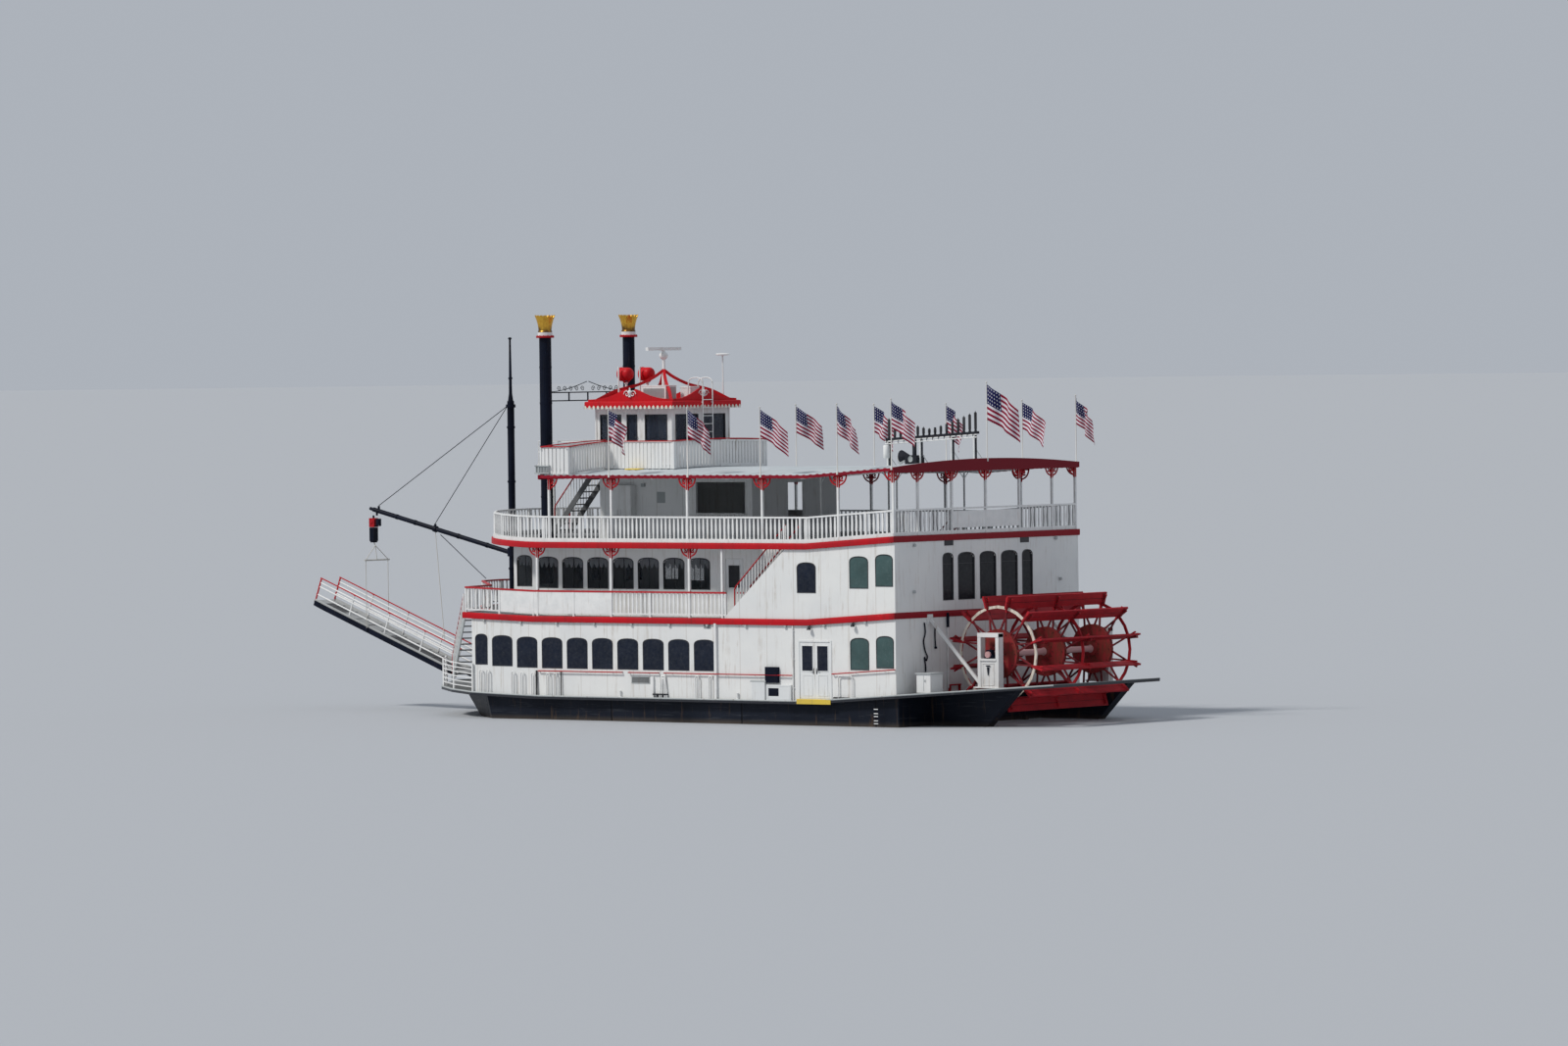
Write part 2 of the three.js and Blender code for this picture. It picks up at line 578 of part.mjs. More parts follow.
// Bow rail around the fore deck, open ahead for the landing stage
const bowPath = mainHalf.slice(3, 7).map(([x, y]) => [x - 60, y - 60]);
const bowRailHeights = [180, 340, 500, 660, 820, 980];
for (const { name, hand } of sides) {
  const parts = bowRailHeights.map((height) => rail(bowPath, mainDeckZ, height, 36, 36));
  for (const [x, y] of bowPath) {
    parts.push(box(x - 30, x + 30, y - 30, y + 30,
      mainDeckZ + sheer(x + 30) + gap, mainDeckZ + sheer(x) + 1010));
  }
  piece(`bow_rail_${name}`, hand(join(parts)), white);
}

// Deckhouse amidships on the top deck, with a serving bay each side
const deckhouse = { aft: ahead(8600), fore: ahead(15650), halfWidth: 2500 };
const deckhouseTop = canopyUnderZ - gap;
const deckhouseSide = squareHole(deckhouse.aft, deckhouse.fore, topDeckZ + gap, deckhouseTop);
const servingBay = squareHole(ahead(8910), ahead(11170), topDeckZ + 950, topDeckZ + 2100);
const houseWalls = [1, -1].map((hand) => sidePanel(deckhouseSide, [servingBay],
  hand > 0 ? deckhouse.halfWidth - wallThickness : -deckhouse.halfWidth,
  hand > 0 ? deckhouse.halfWidth : wallThickness - deckhouse.halfWidth));
const houseEnds = [deckhouse.aft, deckhouse.fore - wallThickness].map((x) => box(x, x + wallThickness,
  -deckhouse.halfWidth + 10, deckhouse.halfWidth - 10, topDeckZ + gap, deckhouseTop)
  .subtract(box(x - 10, x + 90, -450, 450, topDeckZ + 60, topDeckZ + 2050)));
piece('deckhouse', join([...houseWalls, ...houseEnds]), white);

// Canopy roof: a shallow arch across the boat, lofted along the sheer
function canopyHeight(y) {
  return roofCamber * (1 - (y / wallY) ** 2);
}
const archYs = [-1, -0.66, -0.33, 0, 0.33, 0.66, 1].map((t) => t * wallY);
const roofRings = [sternWallX, ahead(3900), canopyFrontX].map((x) => [
  ...archYs.map((y) => [x, y, canopyUnderZ + canopyHeight(y) + sheer(x)]),
  ...[...archYs].reverse().map((y) => [x, y, roofEdgeZ + canopyHeight(y) + sheer(x)])]);
piece('canopy_roof', loft(roofRings), grey);

// Red fascia round the canopy, with the flag staffs and their flags
const fasciaDepth = 280;
const fasciaSide = sidePrism(outline(sheerBand(
  sternWallX - 60, canopyFrontX + 60, roofEdgeZ - fasciaDepth, roofEdgeZ + 20)), wallY + gap, wallY + 60);
const fasciaSides = [fasciaSide, fasciaSide.mirror([0, 1, 0])];
const fasciaEnd = (x0, x1) => {
  const top = archYs.map((y) => [y, roofEdgeZ + canopyHeight(y) + 20]).reverse();
  const foot = [[-wallY - 50, roofEdgeZ - fasciaDepth], [wallY + 50, roofEdgeZ - fasciaDepth]];
  return endPrism(outline([...foot, ...top].map(([y, z]) => [y, z + sheer(x0)])), x0, x1);
};
const staffs = [12830, 9200, 5900, 2460, 60].flatMap((x) => [1, -1].map((hand) => (
  { x: ahead(x), y: hand * (wallY + 30), height: 2300, width: 420, drop: 1150 })));
staffs.push({ x: sternWallX - 30, y: 0, height: 2750, width: 800, drop: 1400 });
const flagParts = staffs.flatMap(({ x, y, height, width, drop }) => {
  const foot = roofEdgeZ + sheer(x) + (y === 0 ? roofCamber : 0) - 60;
  const clothZ = foot + height - 80 - drop / 2;
  return [rod([x, y, foot], [x, y, foot + height], 22, 6),
    bar([x, y, clothZ], [x - width, y - width * 0.35, clothZ], 40, drop)];
});
piece('canopy_fascia', join([...fasciaSides, fasciaEnd(sternWallX - 60, sternWallX - gap),
  fasciaEnd(canopyFrontX + gap, canopyFrontX + 60), ...flagParts]), red);

// Steam organ on the roof: a rack of pipes on three posts
const organX = [ahead(350), ahead(4450)];
const organBarZ = roofEdgeZ + 1180;
const pipeCount = 16;
const organBar = (x) => organBarZ + sheer(x);
const organParts = [bar([organX[0], 0, organBar(organX[0])], [organX[1], 0, organBar(organX[1])], 120, 90)];
for (const x of [organX[0] + 150, ahead(1500), ahead(2900), organX[1] - 100]) {
  organParts.push(box(x - 45, x + 45, -45, 45, roofEdgeZ + roofCamber + sheer(x - 45) + gap, organBar(x)));
}
for (let k = 0; k < pipeCount; k += 1) {
  const x = organX[0] + 120 + (organX[1] - organX[0] - 240) * (k / (pipeCount - 1));
  const fromMiddle = Math.abs(k - pipeCount * 0.62) / pipeCount;
  organParts.push(rod([x, 0, organBar(x)], [x, 0, organBar(x) + 230 + 480 * fromMiddle], 40, 6));
}
const speakerX = ahead(3200);
organParts.push(
  box(speakerX - 260, speakerX + 260, -230, 230, roofEdgeZ + roofCamber + gap + 90, organBarZ - 560),
  box(speakerX - 60, speakerX + 60, -45, 45, organBarZ - 600, organBarZ),
  turned(0, 0, [[0, 0], [70, 0], [230, 330], [0, 330]], 12).rotate([0, 90, 0])
    .translate([speakerX + 250, 0, roofEdgeZ + roofCamber + 360]));
piece('steam_organ', join(organParts), grey);

// Pilothouse deck on the canopy, pointed ahead, with its bulwark and the post under its point
const pilotHalf = [[ahead(12100), 0], [ahead(12100), 2600], [ahead(17100), 2600],
  [ahead(20500), 250], [ahead(20500), 0]];
const pilotSlabZ = pilotDeckZ - pilotDeckThickness;
const hatch = { aft: ahead(16950), fore: ahead(18450), low: 120, high: 1080 };
const pointPost = box(ahead(19900), ahead(19980), -40, 40,
  topDeckZ + sheer(ahead(19980)) + gap, pilotSlabZ + 20);
piece('pilot_deck', planPrism(mirrorOutline(pilotHalf), pilotSlabZ, pilotDeckZ).add(pointPost)
  .subtract(box(hatch.aft, hatch.fore, hatch.low, hatch.high, pilotSlabZ - 50, pilotDeckZ + 50)), white);
const pilotFoot = [ahead(19200), (hatch.low + hatch.high) / 2, topDeckZ + sheer(ahead(19200))];
const pilotHead = [hatch.aft + 40, pilotFoot[1], pilotDeckZ - 60];
const pilotFlight = stair(pilotFoot, pilotHead, 900, 10, topDeckZ, pilotDeckZ - 60, hatch.aft + gap);
piece('pilot_stair', pilotFlight.add(handrails(pilotFoot, pilotHead, 900, 0.08, 0.9)), black);
const bulwarkLine = mirrorOutline(pilotHalf);
const insetHalf = [[ahead(12160), 0], [ahead(12160), 2540], [ahead(17080), 2540],
  [ahead(20440), 220], [ahead(20440), 0]];
piece('pilot_bulwark', planPrism(bulwarkLine, pilotDeckZ + gap, pilotDeckZ + 880)
  .subtract(planPrism(mirrorOutline(insetHalf), pilotDeckZ - 10, pilotDeckZ + 900)), white);

// Pilothouse: four walls with windows, then its red roof
const houseBase = pilotDeckZ + gap;
const houseTop = pilotHouse.eaves - gap;
const pilotSide = squareHole(pilotHouse.aft, pilotHouse.fore, houseBase, houseTop);
const pilotSideHoles = [[15350, 16300], [14600, 15050], [13200, 14200]].map(([a, b]) => squareHole(
  ahead(a), ahead(b), pilotDeckZ + 900, pilotDeckZ + 1800));
const pilotWalls = [1, -1].map((hand) => sidePanel(pilotSide, pilotSideHoles,
  hand > 0 ? pilotHouse.halfWidth - wallThickness : -pilotHouse.halfWidth,
  hand > 0 ? pilotHouse.halfWidth : wallThickness - pilotHouse.halfWidth));
const pilotEnd = squareHole(10 - pilotHouse.halfWidth, pilotHouse.halfWidth - 10, houseBase, houseTop);
const pilotEndHoles = [[150, 1400], [-1400, -150]].map(([a, b]) => squareHole(
  a, b, pilotDeckZ + 900, pilotDeckZ + 1800));
const pilotEnds = [pilotHouse.aft, pilotHouse.fore - wallThickness].map((x) => endPanel(
  pilotEnd, pilotEndHoles, x, x + wallThickness));
piece('pilothouse', join([...pilotWalls, ...pilotEnds]), white);

// Flat roof with a scrolled board along each edge and four ribs that rise from its corners to the mast
const eavesOut = 370;
const slabTopZ = pilotHouse.eaves + 190;
const eaves = {
  x0: pilotHouse.aft - eavesOut, x1: pilotHouse.fore + eavesOut, y: pilotHouse.halfWidth + eavesOut };
const scannerZ = draft + 13250;
const radarX = ahead(14650);
const boardIn = 170;
const boardThickness = 50;
// Swan-neck outline over a length: low ends, two humps and a notch between them
function scrollBoard(length, endHeight) {
  const heights = [[0, endHeight], [0.16, 110], [0.3, 240], [0.42, 420],
    [0.46, 400], [0.48, 250], [0.5, 150]];
  const half = heights.map(([t, up]) => [t * length, slabTopZ + up]);
  const rest = heights.slice(0, -1).reverse().map(([t, up]) => [(1 - t) * length, slabTopZ + up]);
  return outline([[0, slabTopZ - 20], [length, slabTopZ - 20], ...[...half, ...rest].reverse()]);
}
const boardLength = { x: eaves.x1 - eaves.x0 - 2 * boardIn + 80, y: 2 * (eaves.y - boardIn) - 20 };
const sideBoards = [1, -1].map((hand) => {
  const y = hand * (eaves.y - boardIn) - boardThickness / 2;
  return sidePrism(scrollBoard(boardLength.x, 70), y, y + boardThickness)
    .translate([eaves.x0 + boardIn - 40, 0, 0]);
});
const endBoards = [eaves.x0 + boardIn, eaves.x1 - boardIn].map((x) => endPrism(
  scrollBoard(boardLength.y, 50), x - boardThickness / 2, x + boardThickness / 2)
  .translate([0, -boardLength.y / 2, 0]));
const ribPeakZ = draft + 12480;
const ribFoot = 260;
const ribShares = [[0, 0], [0.3, 0.33], [0.62, 0.52], [0.85, 0.76], [1, 1]];
const ribs = [1, -1].flatMap((hand) => [eaves.x0 + ribFoot, eaves.x1 - ribFoot].flatMap((x) => {
  const corner = [x, hand * (eaves.y - ribFoot)];
  const at = ([t, rise]) => [corner[0] + (radarX - corner[0]) * t, corner[1] * (1 - t),
    slabTopZ + 7 + (ribPeakZ - slabTopZ) * rise];
  return ribShares.slice(1).map((share, k) => bar(at(ribShares[k]), at(share), k % 2 ? 62 : 72, 90, 20));
}));
const lamp = (x, y) => [rod([x, y, slabTopZ - 20], [x, y, slabTopZ + 520], 45, 8),
  rod([x - 250, y, slabTopZ + 700], [x + 250, y, slabTopZ + 700], 260, 12)];
const ladderX = eaves.x0 - 60;
const ladderY = [300, -260];
const ladderRails = ladderY.flatMap((y) => [
  bar([ladderX, y, pilotDeckZ + 30], [ladderX, y, slabTopZ + 820], 40, 40),
  bar([ladderX, y, slabTopZ + 800], [ladderX + 180, y, slabTopZ + 960], 34, 34, 8),
  bar([ladderX + 165, y, slabTopZ + 960], [ladderX + 420, y, slabTopZ + 960], 42, 42),
  bar([ladderX + 402, y, slabTopZ + 955], [ladderX + 600, y, slabTopZ - 20], 36, 36),
  bar([ladderX, y, slabTopZ - 60], [eaves.x0 + 40, y, slabTopZ - 60], 30, 30)]);
const rungs = Array.from({ length: 8 }, (_, k) => bar(
  [ladderX, ladderY[0] - 10, pilotDeckZ + 300 + k * 290],
  [ladderX, ladderY[1] + 10, pilotDeckZ + 300 + k * 290], 30, 30));
const antenna = { x: ahead(13110), y: -1500, top: draft + 13000 };
const roofGear = [
  rod([radarX, 0, slabTopZ - 20], [radarX, 0, scannerZ - 120], 60, 10),
  ...lamp(ahead(15700), 900), ...lamp(ahead(15380), -350),
  box(ahead(13720), ahead(14870), 430, 1030, slabTopZ - 20, slabTopZ + 560),
  box(ahead(13260), ahead(13720), -300, 200, slabTopZ - 20, slabTopZ + 500),
  rod([antenna.x, antenna.y, slabTopZ - 20], [antenna.x, antenna.y, antenna.top], 32, 8),
  rod([antenna.x, antenna.y, antenna.top - 20], [antenna.x, antenna.y, antenna.top + 70], 260, 12),
  ...ladderRails, ...rungs];
const slab = box(eaves.x0, eaves.x1, -eaves.y, eaves.y, pilotHouse.eaves, slabTopZ);
piece('pilothouse_roof', join([slab, ...sideBoards, ...endBoards, ...ribs, ...roofGear]), red);
piece('radar_scanner', rod([radarX, 0, scannerZ - 120 + gap], [radarX, 0, scannerZ - 20], 70, 10)
  .add(box(radarX - 60, radarX + 60, -950, 950, scannerZ - 60, scannerZ + 60)), white);

// Twin stacks with gilt crowns and the ironwork spreader between them
for (const { name, hand } of sides) {
  const foot = topDeckZ + sheer(stackX + stackRadius) + gap;
  piece(`stack_${name}`, hand(turned(stackX, stackY, [
    [0, foot], [stackRadius, foot], [stackRadius, stackTopZ - 500],
    [stackRadius + 30, stackTopZ - 490], [stackRadius + 30, stackTopZ - 320], [stackRadius, stackTopZ - 310],
    [stackRadius, stackTopZ - 60], [0, stackTopZ - 60]])), black);
  piece(`crown_${name}`, hand(turned(stackX, stackY, [
    [0, stackTopZ - 60 + gap], [stackRadius + 20, stackTopZ - 60 + gap],
    [stackRadius + 60, stackTopZ + 60], [stackRadius + 150, stackTopZ + 350],
    [stackRadius + 120, stackTopZ + 350], [stackRadius + 30, stackTopZ + 60], [0, stackTopZ + 60]])), gold);
}
const spreaderZ = draft + 11560;
const spreaderY = stackY - stackRadius - gap;
piece('stack_spreader', join([
  bar([stackX, -spreaderY, spreaderZ + 150], [stackX, spreaderY, spreaderZ + 150], 40, 40),
  bar([stackX, -spreaderY, spreaderZ - 150], [stackX, spreaderY, spreaderZ - 150], 40, 40),
  ...[-1, -0.5, 0, 0.5, 1].map((t) => t * (spreaderY - 20)).map((y) => box(
    stackX - 20, stackX + 20, y - 20, y + 20, spreaderZ - 150, spreaderZ + 150))]), black);

// Mast on the fore deck, the boom that slews on it, its stays and the hoist with the stage falls
const mastFoot = mainDeckZ + sheer(mastX + mastRadius) + gap;
piece('mast', turned(mastX, 0, [
  [0, mastFoot], [mastRadius, mastFoot], [mastRadius, mastHeadZ - 300], [mastRadius - 30, mastHeadZ - 290],
  [60, mastHeadZ], [35, mastHeadZ + 2000], [0, mastHeadZ + 2000]]), black);
const collar = (z0, z1, radius) => rod([mastX, 0, z0], [mastX, 0, z1], radius, 16)
  .subtract(bore([mastX, 0, z0 - 10], [mastX, 0, z1 + 10], mastRadius, 16));
const boomHeel = [mastX + mastRadius + 60, 0, boomHeelZ];
const onBoom = (x) => {
  const t = (x - boomHeel[0]) / (boomTip[0] - boomHeel[0]);
  return [x, 0, boomHeel[2] + (boomTip[2] - boomHeel[2]) * t];
};
const clampX = ahead(25720);
const fallX = boomTip[0] - 160;
const lugReach = 190;
const topLugs = [clampX, boomTip[0] - 260].map((x) => ({ x, z: onBoom(x)[2] + lugReach }));
const lugs = topLugs.map(({ x, z }) => box(x - 45, x + 45, -15, 15, onBoom(x)[2], z));
const hoistTop = onBoom(fallX)[2] - lugReach;
piece('boom', join([
  collar(boomHeelZ - 160, boomHeelZ + 160, mastRadius + 60), rod(boomHeel, boomTip, 85, 12),
  rod(onBoom(clampX - 70), onBoom(clampX + 70), 120, 12), ...lugs,
  box(fallX - 40, fallX + 40, -15, 15, hoistTop, onBoom(fallX)[2])]), black);
const stayBandZ = mastHeadZ - 480;
const stayRadius = 14;
const stays = topLugs.map(({ x, z }) => rod([mastX + mastRadius + 30, 0, stayBandZ],
  [x, 0, z + stayRadius + gap], stayRadius, 6));
piece('boom_stays', join([collar(stayBandZ - 60, stayBandZ + 60, mastRadius + 50), ...stays]), black);

const stageLength = Math.hypot(stageTip[0] - stageHeel[0], stageTip[2] - stageHeel[2]);
const stageAngle = Math.atan2(stageTip[2] - stageHeel[2], stageTip[0] - stageHeel[0]);
const onStage = (along, y, up) => [
  stageHeel[0] + along * Math.cos(stageAngle) - up * Math.sin(stageAngle), y,
  stageHeel[2] + along * Math.sin(stageAngle) + up * Math.cos(stageAngle)];
const stageRailHeight = 900;
const fallAlong = (x) => (x - stageHeel[0]) / Math.cos(stageAngle);
const spreadZ = draft + 5900;
const liftBar = onStage(fallAlong(fallX), 0, -90);
const fallFootZ = liftBar[2] + 25 + gap;
const falls = [1, -1].map((hand) => {
  const y = hand * (stageHalfWidth + 60);
  return rod([liftBar[0], y, spreadZ], [liftBar[0], y, fallFootZ], 12, 6);
});
piece('hoist', join([box(fallX - 110, fallX + 110, -120, 120, hoistTop - 620, hoistTop - 90),
  rod([fallX, 0, hoistTop - 200], [fallX, 0, hoistTop - gap], 40, 8),
  rod([fallX, 0, spreadZ], [fallX, 0, hoistTop - 600], 20, 6),
  bar([fallX, 0, spreadZ + 30], [liftBar[0], 0, spreadZ], 40, 40, 15),
  bar([liftBar[0], -stageHalfWidth - 60, spreadZ], [liftBar[0], stageHalfWidth + 60, spreadZ], 50, 50, 20),
  ...falls]), ropeWhite);
const heelRopeFoot = onStage(1000, stageHalfWidth - 30, stageRailHeight + 8);
piece('heel_rope', rod([clampX, 0, onBoom(clampX)[2] - 120 / Math.cos(0.23) - 12],
  [heelRopeFoot[0], heelRopeFoot[1], heelRopeFoot[2] + 7.8], 12, 6), ropeWhite);

// Landing stage: a light gangway on two beams, hung at its heel, with a rail each side
const stagePanel = join([
  bar(onStage(120, 0, -40), onStage(stageLength, 0, -40), 2 * stageHalfWidth, 50),
  ...[430, -430].map((y) => bar(onStage(120, y, -140), onStage(stageLength - 300, y, -140), 90, 180)),
  rod([stageHeel[0], -stageHalfWidth, stageHeel[2]], [stageHeel[0], stageHalfWidth, stageHeel[2]], 45, 10),
  ...[1, -1].map((hand) => bar(onStage(0, hand * 430, 0), onStage(220, hand * 430, -60), 70, 80)),
  bar([liftBar[0], -stageHalfWidth - 90, liftBar[2]], [liftBar[0], stageHalfWidth + 90, liftBar[2]], 50, 50),
]);
piece('stage', stagePanel, grey);
for (const { name, hand } of sides) {
  const y = stageHalfWidth - 30;
  const parts = [150, 2000, 3850, 5700, stageLength - 60].map((along) => bar(
    onStage(along, y, -15 + gap), onStage(along, y, stageRailHeight), 44, 44));
  for (const up of [250, 560, stageRailHeight - 10]) {
    parts.push(bar(onStage(130, y, up), onStage(stageLength - 20, y, up), 36, 36));
  }
  piece(`stage_rail_${name}`, hand(join(parts)), white);
}

// Paddle wheel: shaft, three flanges of crossed arms and rings, and the buckets across them
const bearingY = wellHalfWidth + 200;
const shaftEndY = bearingY + 180;
piece('wheel_shaft', rod([wheelX, -shaftEndY, wheelZ], [wheelX, shaftEndY, wheelZ], shaftRadius, 20), red);
const wheelPoint = (radius, angle, y) => [
  wheelX + radius * Math.cos(angle), y, wheelZ + radius * Math.sin(angle)];
const wheelParts = [];
for (const y of [-flangeY, 0, flangeY]) {
  const hub = rod([wheelX, y - 60, wheelZ], [wheelX, y + 60, wheelZ], hubRadius, 18);
  const ring = rod([wheelX, y - 25, wheelZ], [wheelX, y + 25, wheelZ], ringRadius, 24)
    .subtract(rod([wheelX, y - 30, wheelZ], [wheelX, y + 30, wheelZ], ringRadius - ringDepth, 24));
  wheelParts.push(hub, ring);
}
for (let k = 0; k < bucketCount; k += 1) {
  const angle = (Math.PI * 2 * (k + 0.5)) / bucketCount;
  const middle = wheelPoint(wheelRadius - bucketDepth / 2, angle, 0);
  const plank = new THREE.BoxGeometry(bucketDepth, 2 * bucketHalfLength, 60)
    .rotateY(-angle).translate(...middle);
  wheelParts.push(solid(plank));
  for (const y of [-flangeY, 0, flangeY]) {
    for (const lean of [1, -1]) {
      const root = wheelPoint(hubRadius - 90, angle + lean * 0.2, y + lean * 32);
      wheelParts.push(bar(root, wheelPoint(wheelRadius - 60, angle - lean * 0.05, y + lean * 32), 56, 56));
    }
  }
}
const shaftBore = rod([wheelX, -bearingY, wheelZ], [wheelX, bearingY, wheelZ], shaftRadius + gap, 20);
piece('paddle_wheel', join(wheelParts).subtract(shaftBore), red);

// Bearing frames on the side decks, and the strut from the second deck to each frame's foot
for (const { name, hand } of sides) {
  const footZ = mainDeckZ + sheer(wheelX - 425) + gap;
  const frame = squareHole(wheelX - 425, wheelX + 425, footZ, footZ + 1900);
  const window = squareHole(wheelX - 300, wheelX + 300, wheelZ + 260, footZ + 1780);
  const portal = sidePanel(frame, [window], wellHalfWidth + 60, wellHalfWidth + 340)
    .subtract(bore([wheelX, wellHalfWidth, wheelZ], [wheelX, wellHalfWidth + 500, wheelZ], shaftRadius, 20));
  const strut = bar([sternWallX - 60, 3400, secondDeckZ + sheer(sternWallX) - 250],
    [wheelX + 300, 3250, footZ + 160], 90, 110).subtract(box(sternWallX - 8, 0, 0, 6000, 0, 9000));
  piece(`bearing_frame_${name}`, hand(portal.add(strut)), white);
}
const lockerX = ahead(-700);
piece('aft_locker', box(lockerX - 350, lockerX + 250, 4050, 4750, mainDeckZ + sheer(lockerX - 350) + gap,
  mainDeckZ + sheer(lockerX - 350) + 650), grey);

export default steamer;
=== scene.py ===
import bmesh
import bpy
import numpy as np
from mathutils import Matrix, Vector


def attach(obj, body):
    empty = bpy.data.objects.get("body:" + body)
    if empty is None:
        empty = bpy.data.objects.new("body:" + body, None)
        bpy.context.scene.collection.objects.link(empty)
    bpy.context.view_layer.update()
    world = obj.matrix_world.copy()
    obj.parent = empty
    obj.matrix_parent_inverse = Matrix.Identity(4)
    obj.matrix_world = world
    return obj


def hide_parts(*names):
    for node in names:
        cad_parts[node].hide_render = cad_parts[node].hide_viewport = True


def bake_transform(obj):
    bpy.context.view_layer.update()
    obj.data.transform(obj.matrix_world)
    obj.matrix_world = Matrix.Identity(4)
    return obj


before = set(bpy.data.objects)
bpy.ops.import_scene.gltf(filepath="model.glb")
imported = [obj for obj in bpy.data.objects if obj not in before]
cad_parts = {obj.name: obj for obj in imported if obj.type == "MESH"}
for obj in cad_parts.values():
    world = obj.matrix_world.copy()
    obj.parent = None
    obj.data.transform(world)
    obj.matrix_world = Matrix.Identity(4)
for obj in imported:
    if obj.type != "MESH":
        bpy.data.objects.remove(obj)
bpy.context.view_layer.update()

# Camera: the view of the photograph, from the port quarter and a little above the water. The angles
# and the focal length in pixels were fitted to corners of the decks, the stacks and the wheel.
azimuth, elevation, roll = np.radians([38.662, 1.158, -0.707])
aim = np.array([-0.842, 0.0, 7.954])
backward = np.array([-np.sin(azimuth) * np.cos(elevation), np.cos(azimuth) * np.cos(elevation),
    np.sin(elevation)])
sideways = np.cross(-backward, [0, 0, 1])
sideways /= np.linalg.norm(sideways)
upward = np.cross(sideways, -backward)
camera_data = bpy.data.cameras.new("camera")
focal_length, picture_width = 8537.7, 1600
camera_data.lens = focal_length / picture_width * camera_data.sensor_width
camera_data.clip_start = 10
camera_data.clip_end = 4000
camera = bpy.data.objects.new("camera", camera_data)
bpy.context.scene.collection.objects.link(camera)
bpy.context.scene.camera = camera
turned_side = sideways * np.cos(roll) + upward * np.sin(roll)
turned_up = upward * np.cos(roll) - sideways * np.sin(roll)
distance = 300
placed = np.eye(4)
placed[:3, :] = np.stack([turned_side, turned_up, backward, aim + distance * backward], axis=1)
camera.matrix_world = Matrix(placed.tolist())

# Studio: a plain pale floor at the waterline, one large soft sun from ahead on the port side, and
# an even pale sky all round.
waterline = 1.0
floor_mesh = bpy.data.meshes.new("floor")
reach = 3000
floor_mesh.from_pydata([(-reach, -reach, waterline), (reach, -reach, waterline), (reach, reach, waterline),
    (-reach, reach, waterline)], [], [(0, 1, 2, 3)])
floor = bpy.data.objects.new("floor", floor_mesh)
bpy.context.scene.collection.objects.link(floor)
floor_paint = bpy.data.materials.new("floor")
floor_paint.use_nodes = True
floor_shader = floor_paint.node_tree.nodes["Principled BSDF"]
floor_shader.inputs["Base Color"].default_value = (0.43, 0.45, 0.48, 1)
floor_shader.inputs["Roughness"].default_value = 0.85
floor_mesh.materials.append(floor_paint)
sun_data = bpy.data.lights.new("sun", "SUN")
sun_data.energy = 2.4
sun_data.angle = np.radians(9)
sun_data.color = (1.0, 0.97, 0.92)
sun = bpy.data.objects.new("sun", sun_data)
sun.rotation_mode = "QUATERNION"
sun.rotation_quaternion = Vector((0.42, 0.72, 0.95)).to_track_quat("Z", "Y")
bpy.context.scene.collection.objects.link(sun)
sky = bpy.data.worlds.new("sky")
sky.use_nodes = True
sky.node_tree.nodes["Background"].inputs["Color"].default_value = (0.80, 0.86, 0.95, 1)
sky.node_tree.nodes["Background"].inputs["Strength"].default_value = 0.52
bpy.context.scene.world = sky
bpy.context.scene.view_settings.view_transform = "Standard"


# Hull: welded steel plate under blue-black paint, faded and scuffed along the guard, with mud and
# rust at the waterline. The same paint covers the rudders.
class Wire:
    """A node socket in a sum. Arithmetic on wires and numbers adds the Math nodes that work it out at
    every point of a surface, and node() adds any other node: its settings first, then its sockets."""

    def __init__(self, tree, socket=None):
        self.tree = tree
        self.socket = socket

    def node(self, kind, settings=(), sockets=(), out=0):
        made = self.tree.nodes.new(kind)
        for name, value in dict(settings).items():
            setattr(made, name, value)
        for name, value in dict(sockets).items():
            if isinstance(value, Wire):
                self.tree.links.new(value.socket, made.inputs[name])
            else:
                made.inputs[name].default_value = value
        return Wire(self.tree, made.outputs[out])

    def math(self, operation, *values):
        return self.node("ShaderNodeMath", {"operation": operation}, enumerate(values))

    def __rsub__(self, other):
        return self.math("SUBTRACT", other, self)

    def clip(self):
        return self.node("ShaderNodeClamp", {}, {"Value": self})

    def above(self, edge, soft):
        """0 below the edge and 1 above it, with a slope between that is soft wide."""
        return ((self - edge) / soft + 0.5).clip()

    def mix(self, low, high):
        """The colour low where this wire is 0 and high where it is 1."""
        low, high = [colour if isinstance(colour, Wire) else (*colour, 1) for colour in (low, high)]
        return self.node("ShaderNodeMix", {"data_type": "RGBA"}, {0: self, 6: low, 7: high}, out=2)

    def stretched(self, by):
        return self.node("ShaderNodeVectorMath", {"operation": "MULTIPLY"}, {0: self, 1: by})

    def noise(self, scale, detail=3.0, rough=0.55):
        return self.node("ShaderNodeTexNoise", {},
            {"Vector": self, "Scale": scale, "Detail": detail, "Roughness": rough})

    def split(self):
        parts = self.node("ShaderNodeSeparateXYZ", {}, {0: self})
        owner = parts.socket.node
        return [Wire(self.tree, owner.outputs[axis]) for axis in range(3)]


def operator(operation):
    """A method that adds the Math node of that name, with the wire itself as its first value."""
    return lambda wire, *others: wire.math(operation, wire, *others)


for name, operation in {"add": "ADD", "radd": "ADD", "sub": "SUBTRACT", "mul": "MULTIPLY",
        "rmul": "MULTIPLY", "truediv": "DIVIDE", "pow": "POWER", "mod": "FLOORED_MODULO",
        "gt": "GREATER_THAN", "lt": "LESS_THAN", "abs": "ABSOLUTE"}.items():
    setattr(Wire, f"__{name}__", operator(operation))


def new_finish(name):
    """A material with the wire of the place on its piece, from which its pattern grows."""
    material = bpy.data.materials.new(name)
    material.use_nodes = True
    return material, Wire(material.node_tree).node("ShaderNodeTexCoord", out="Object")


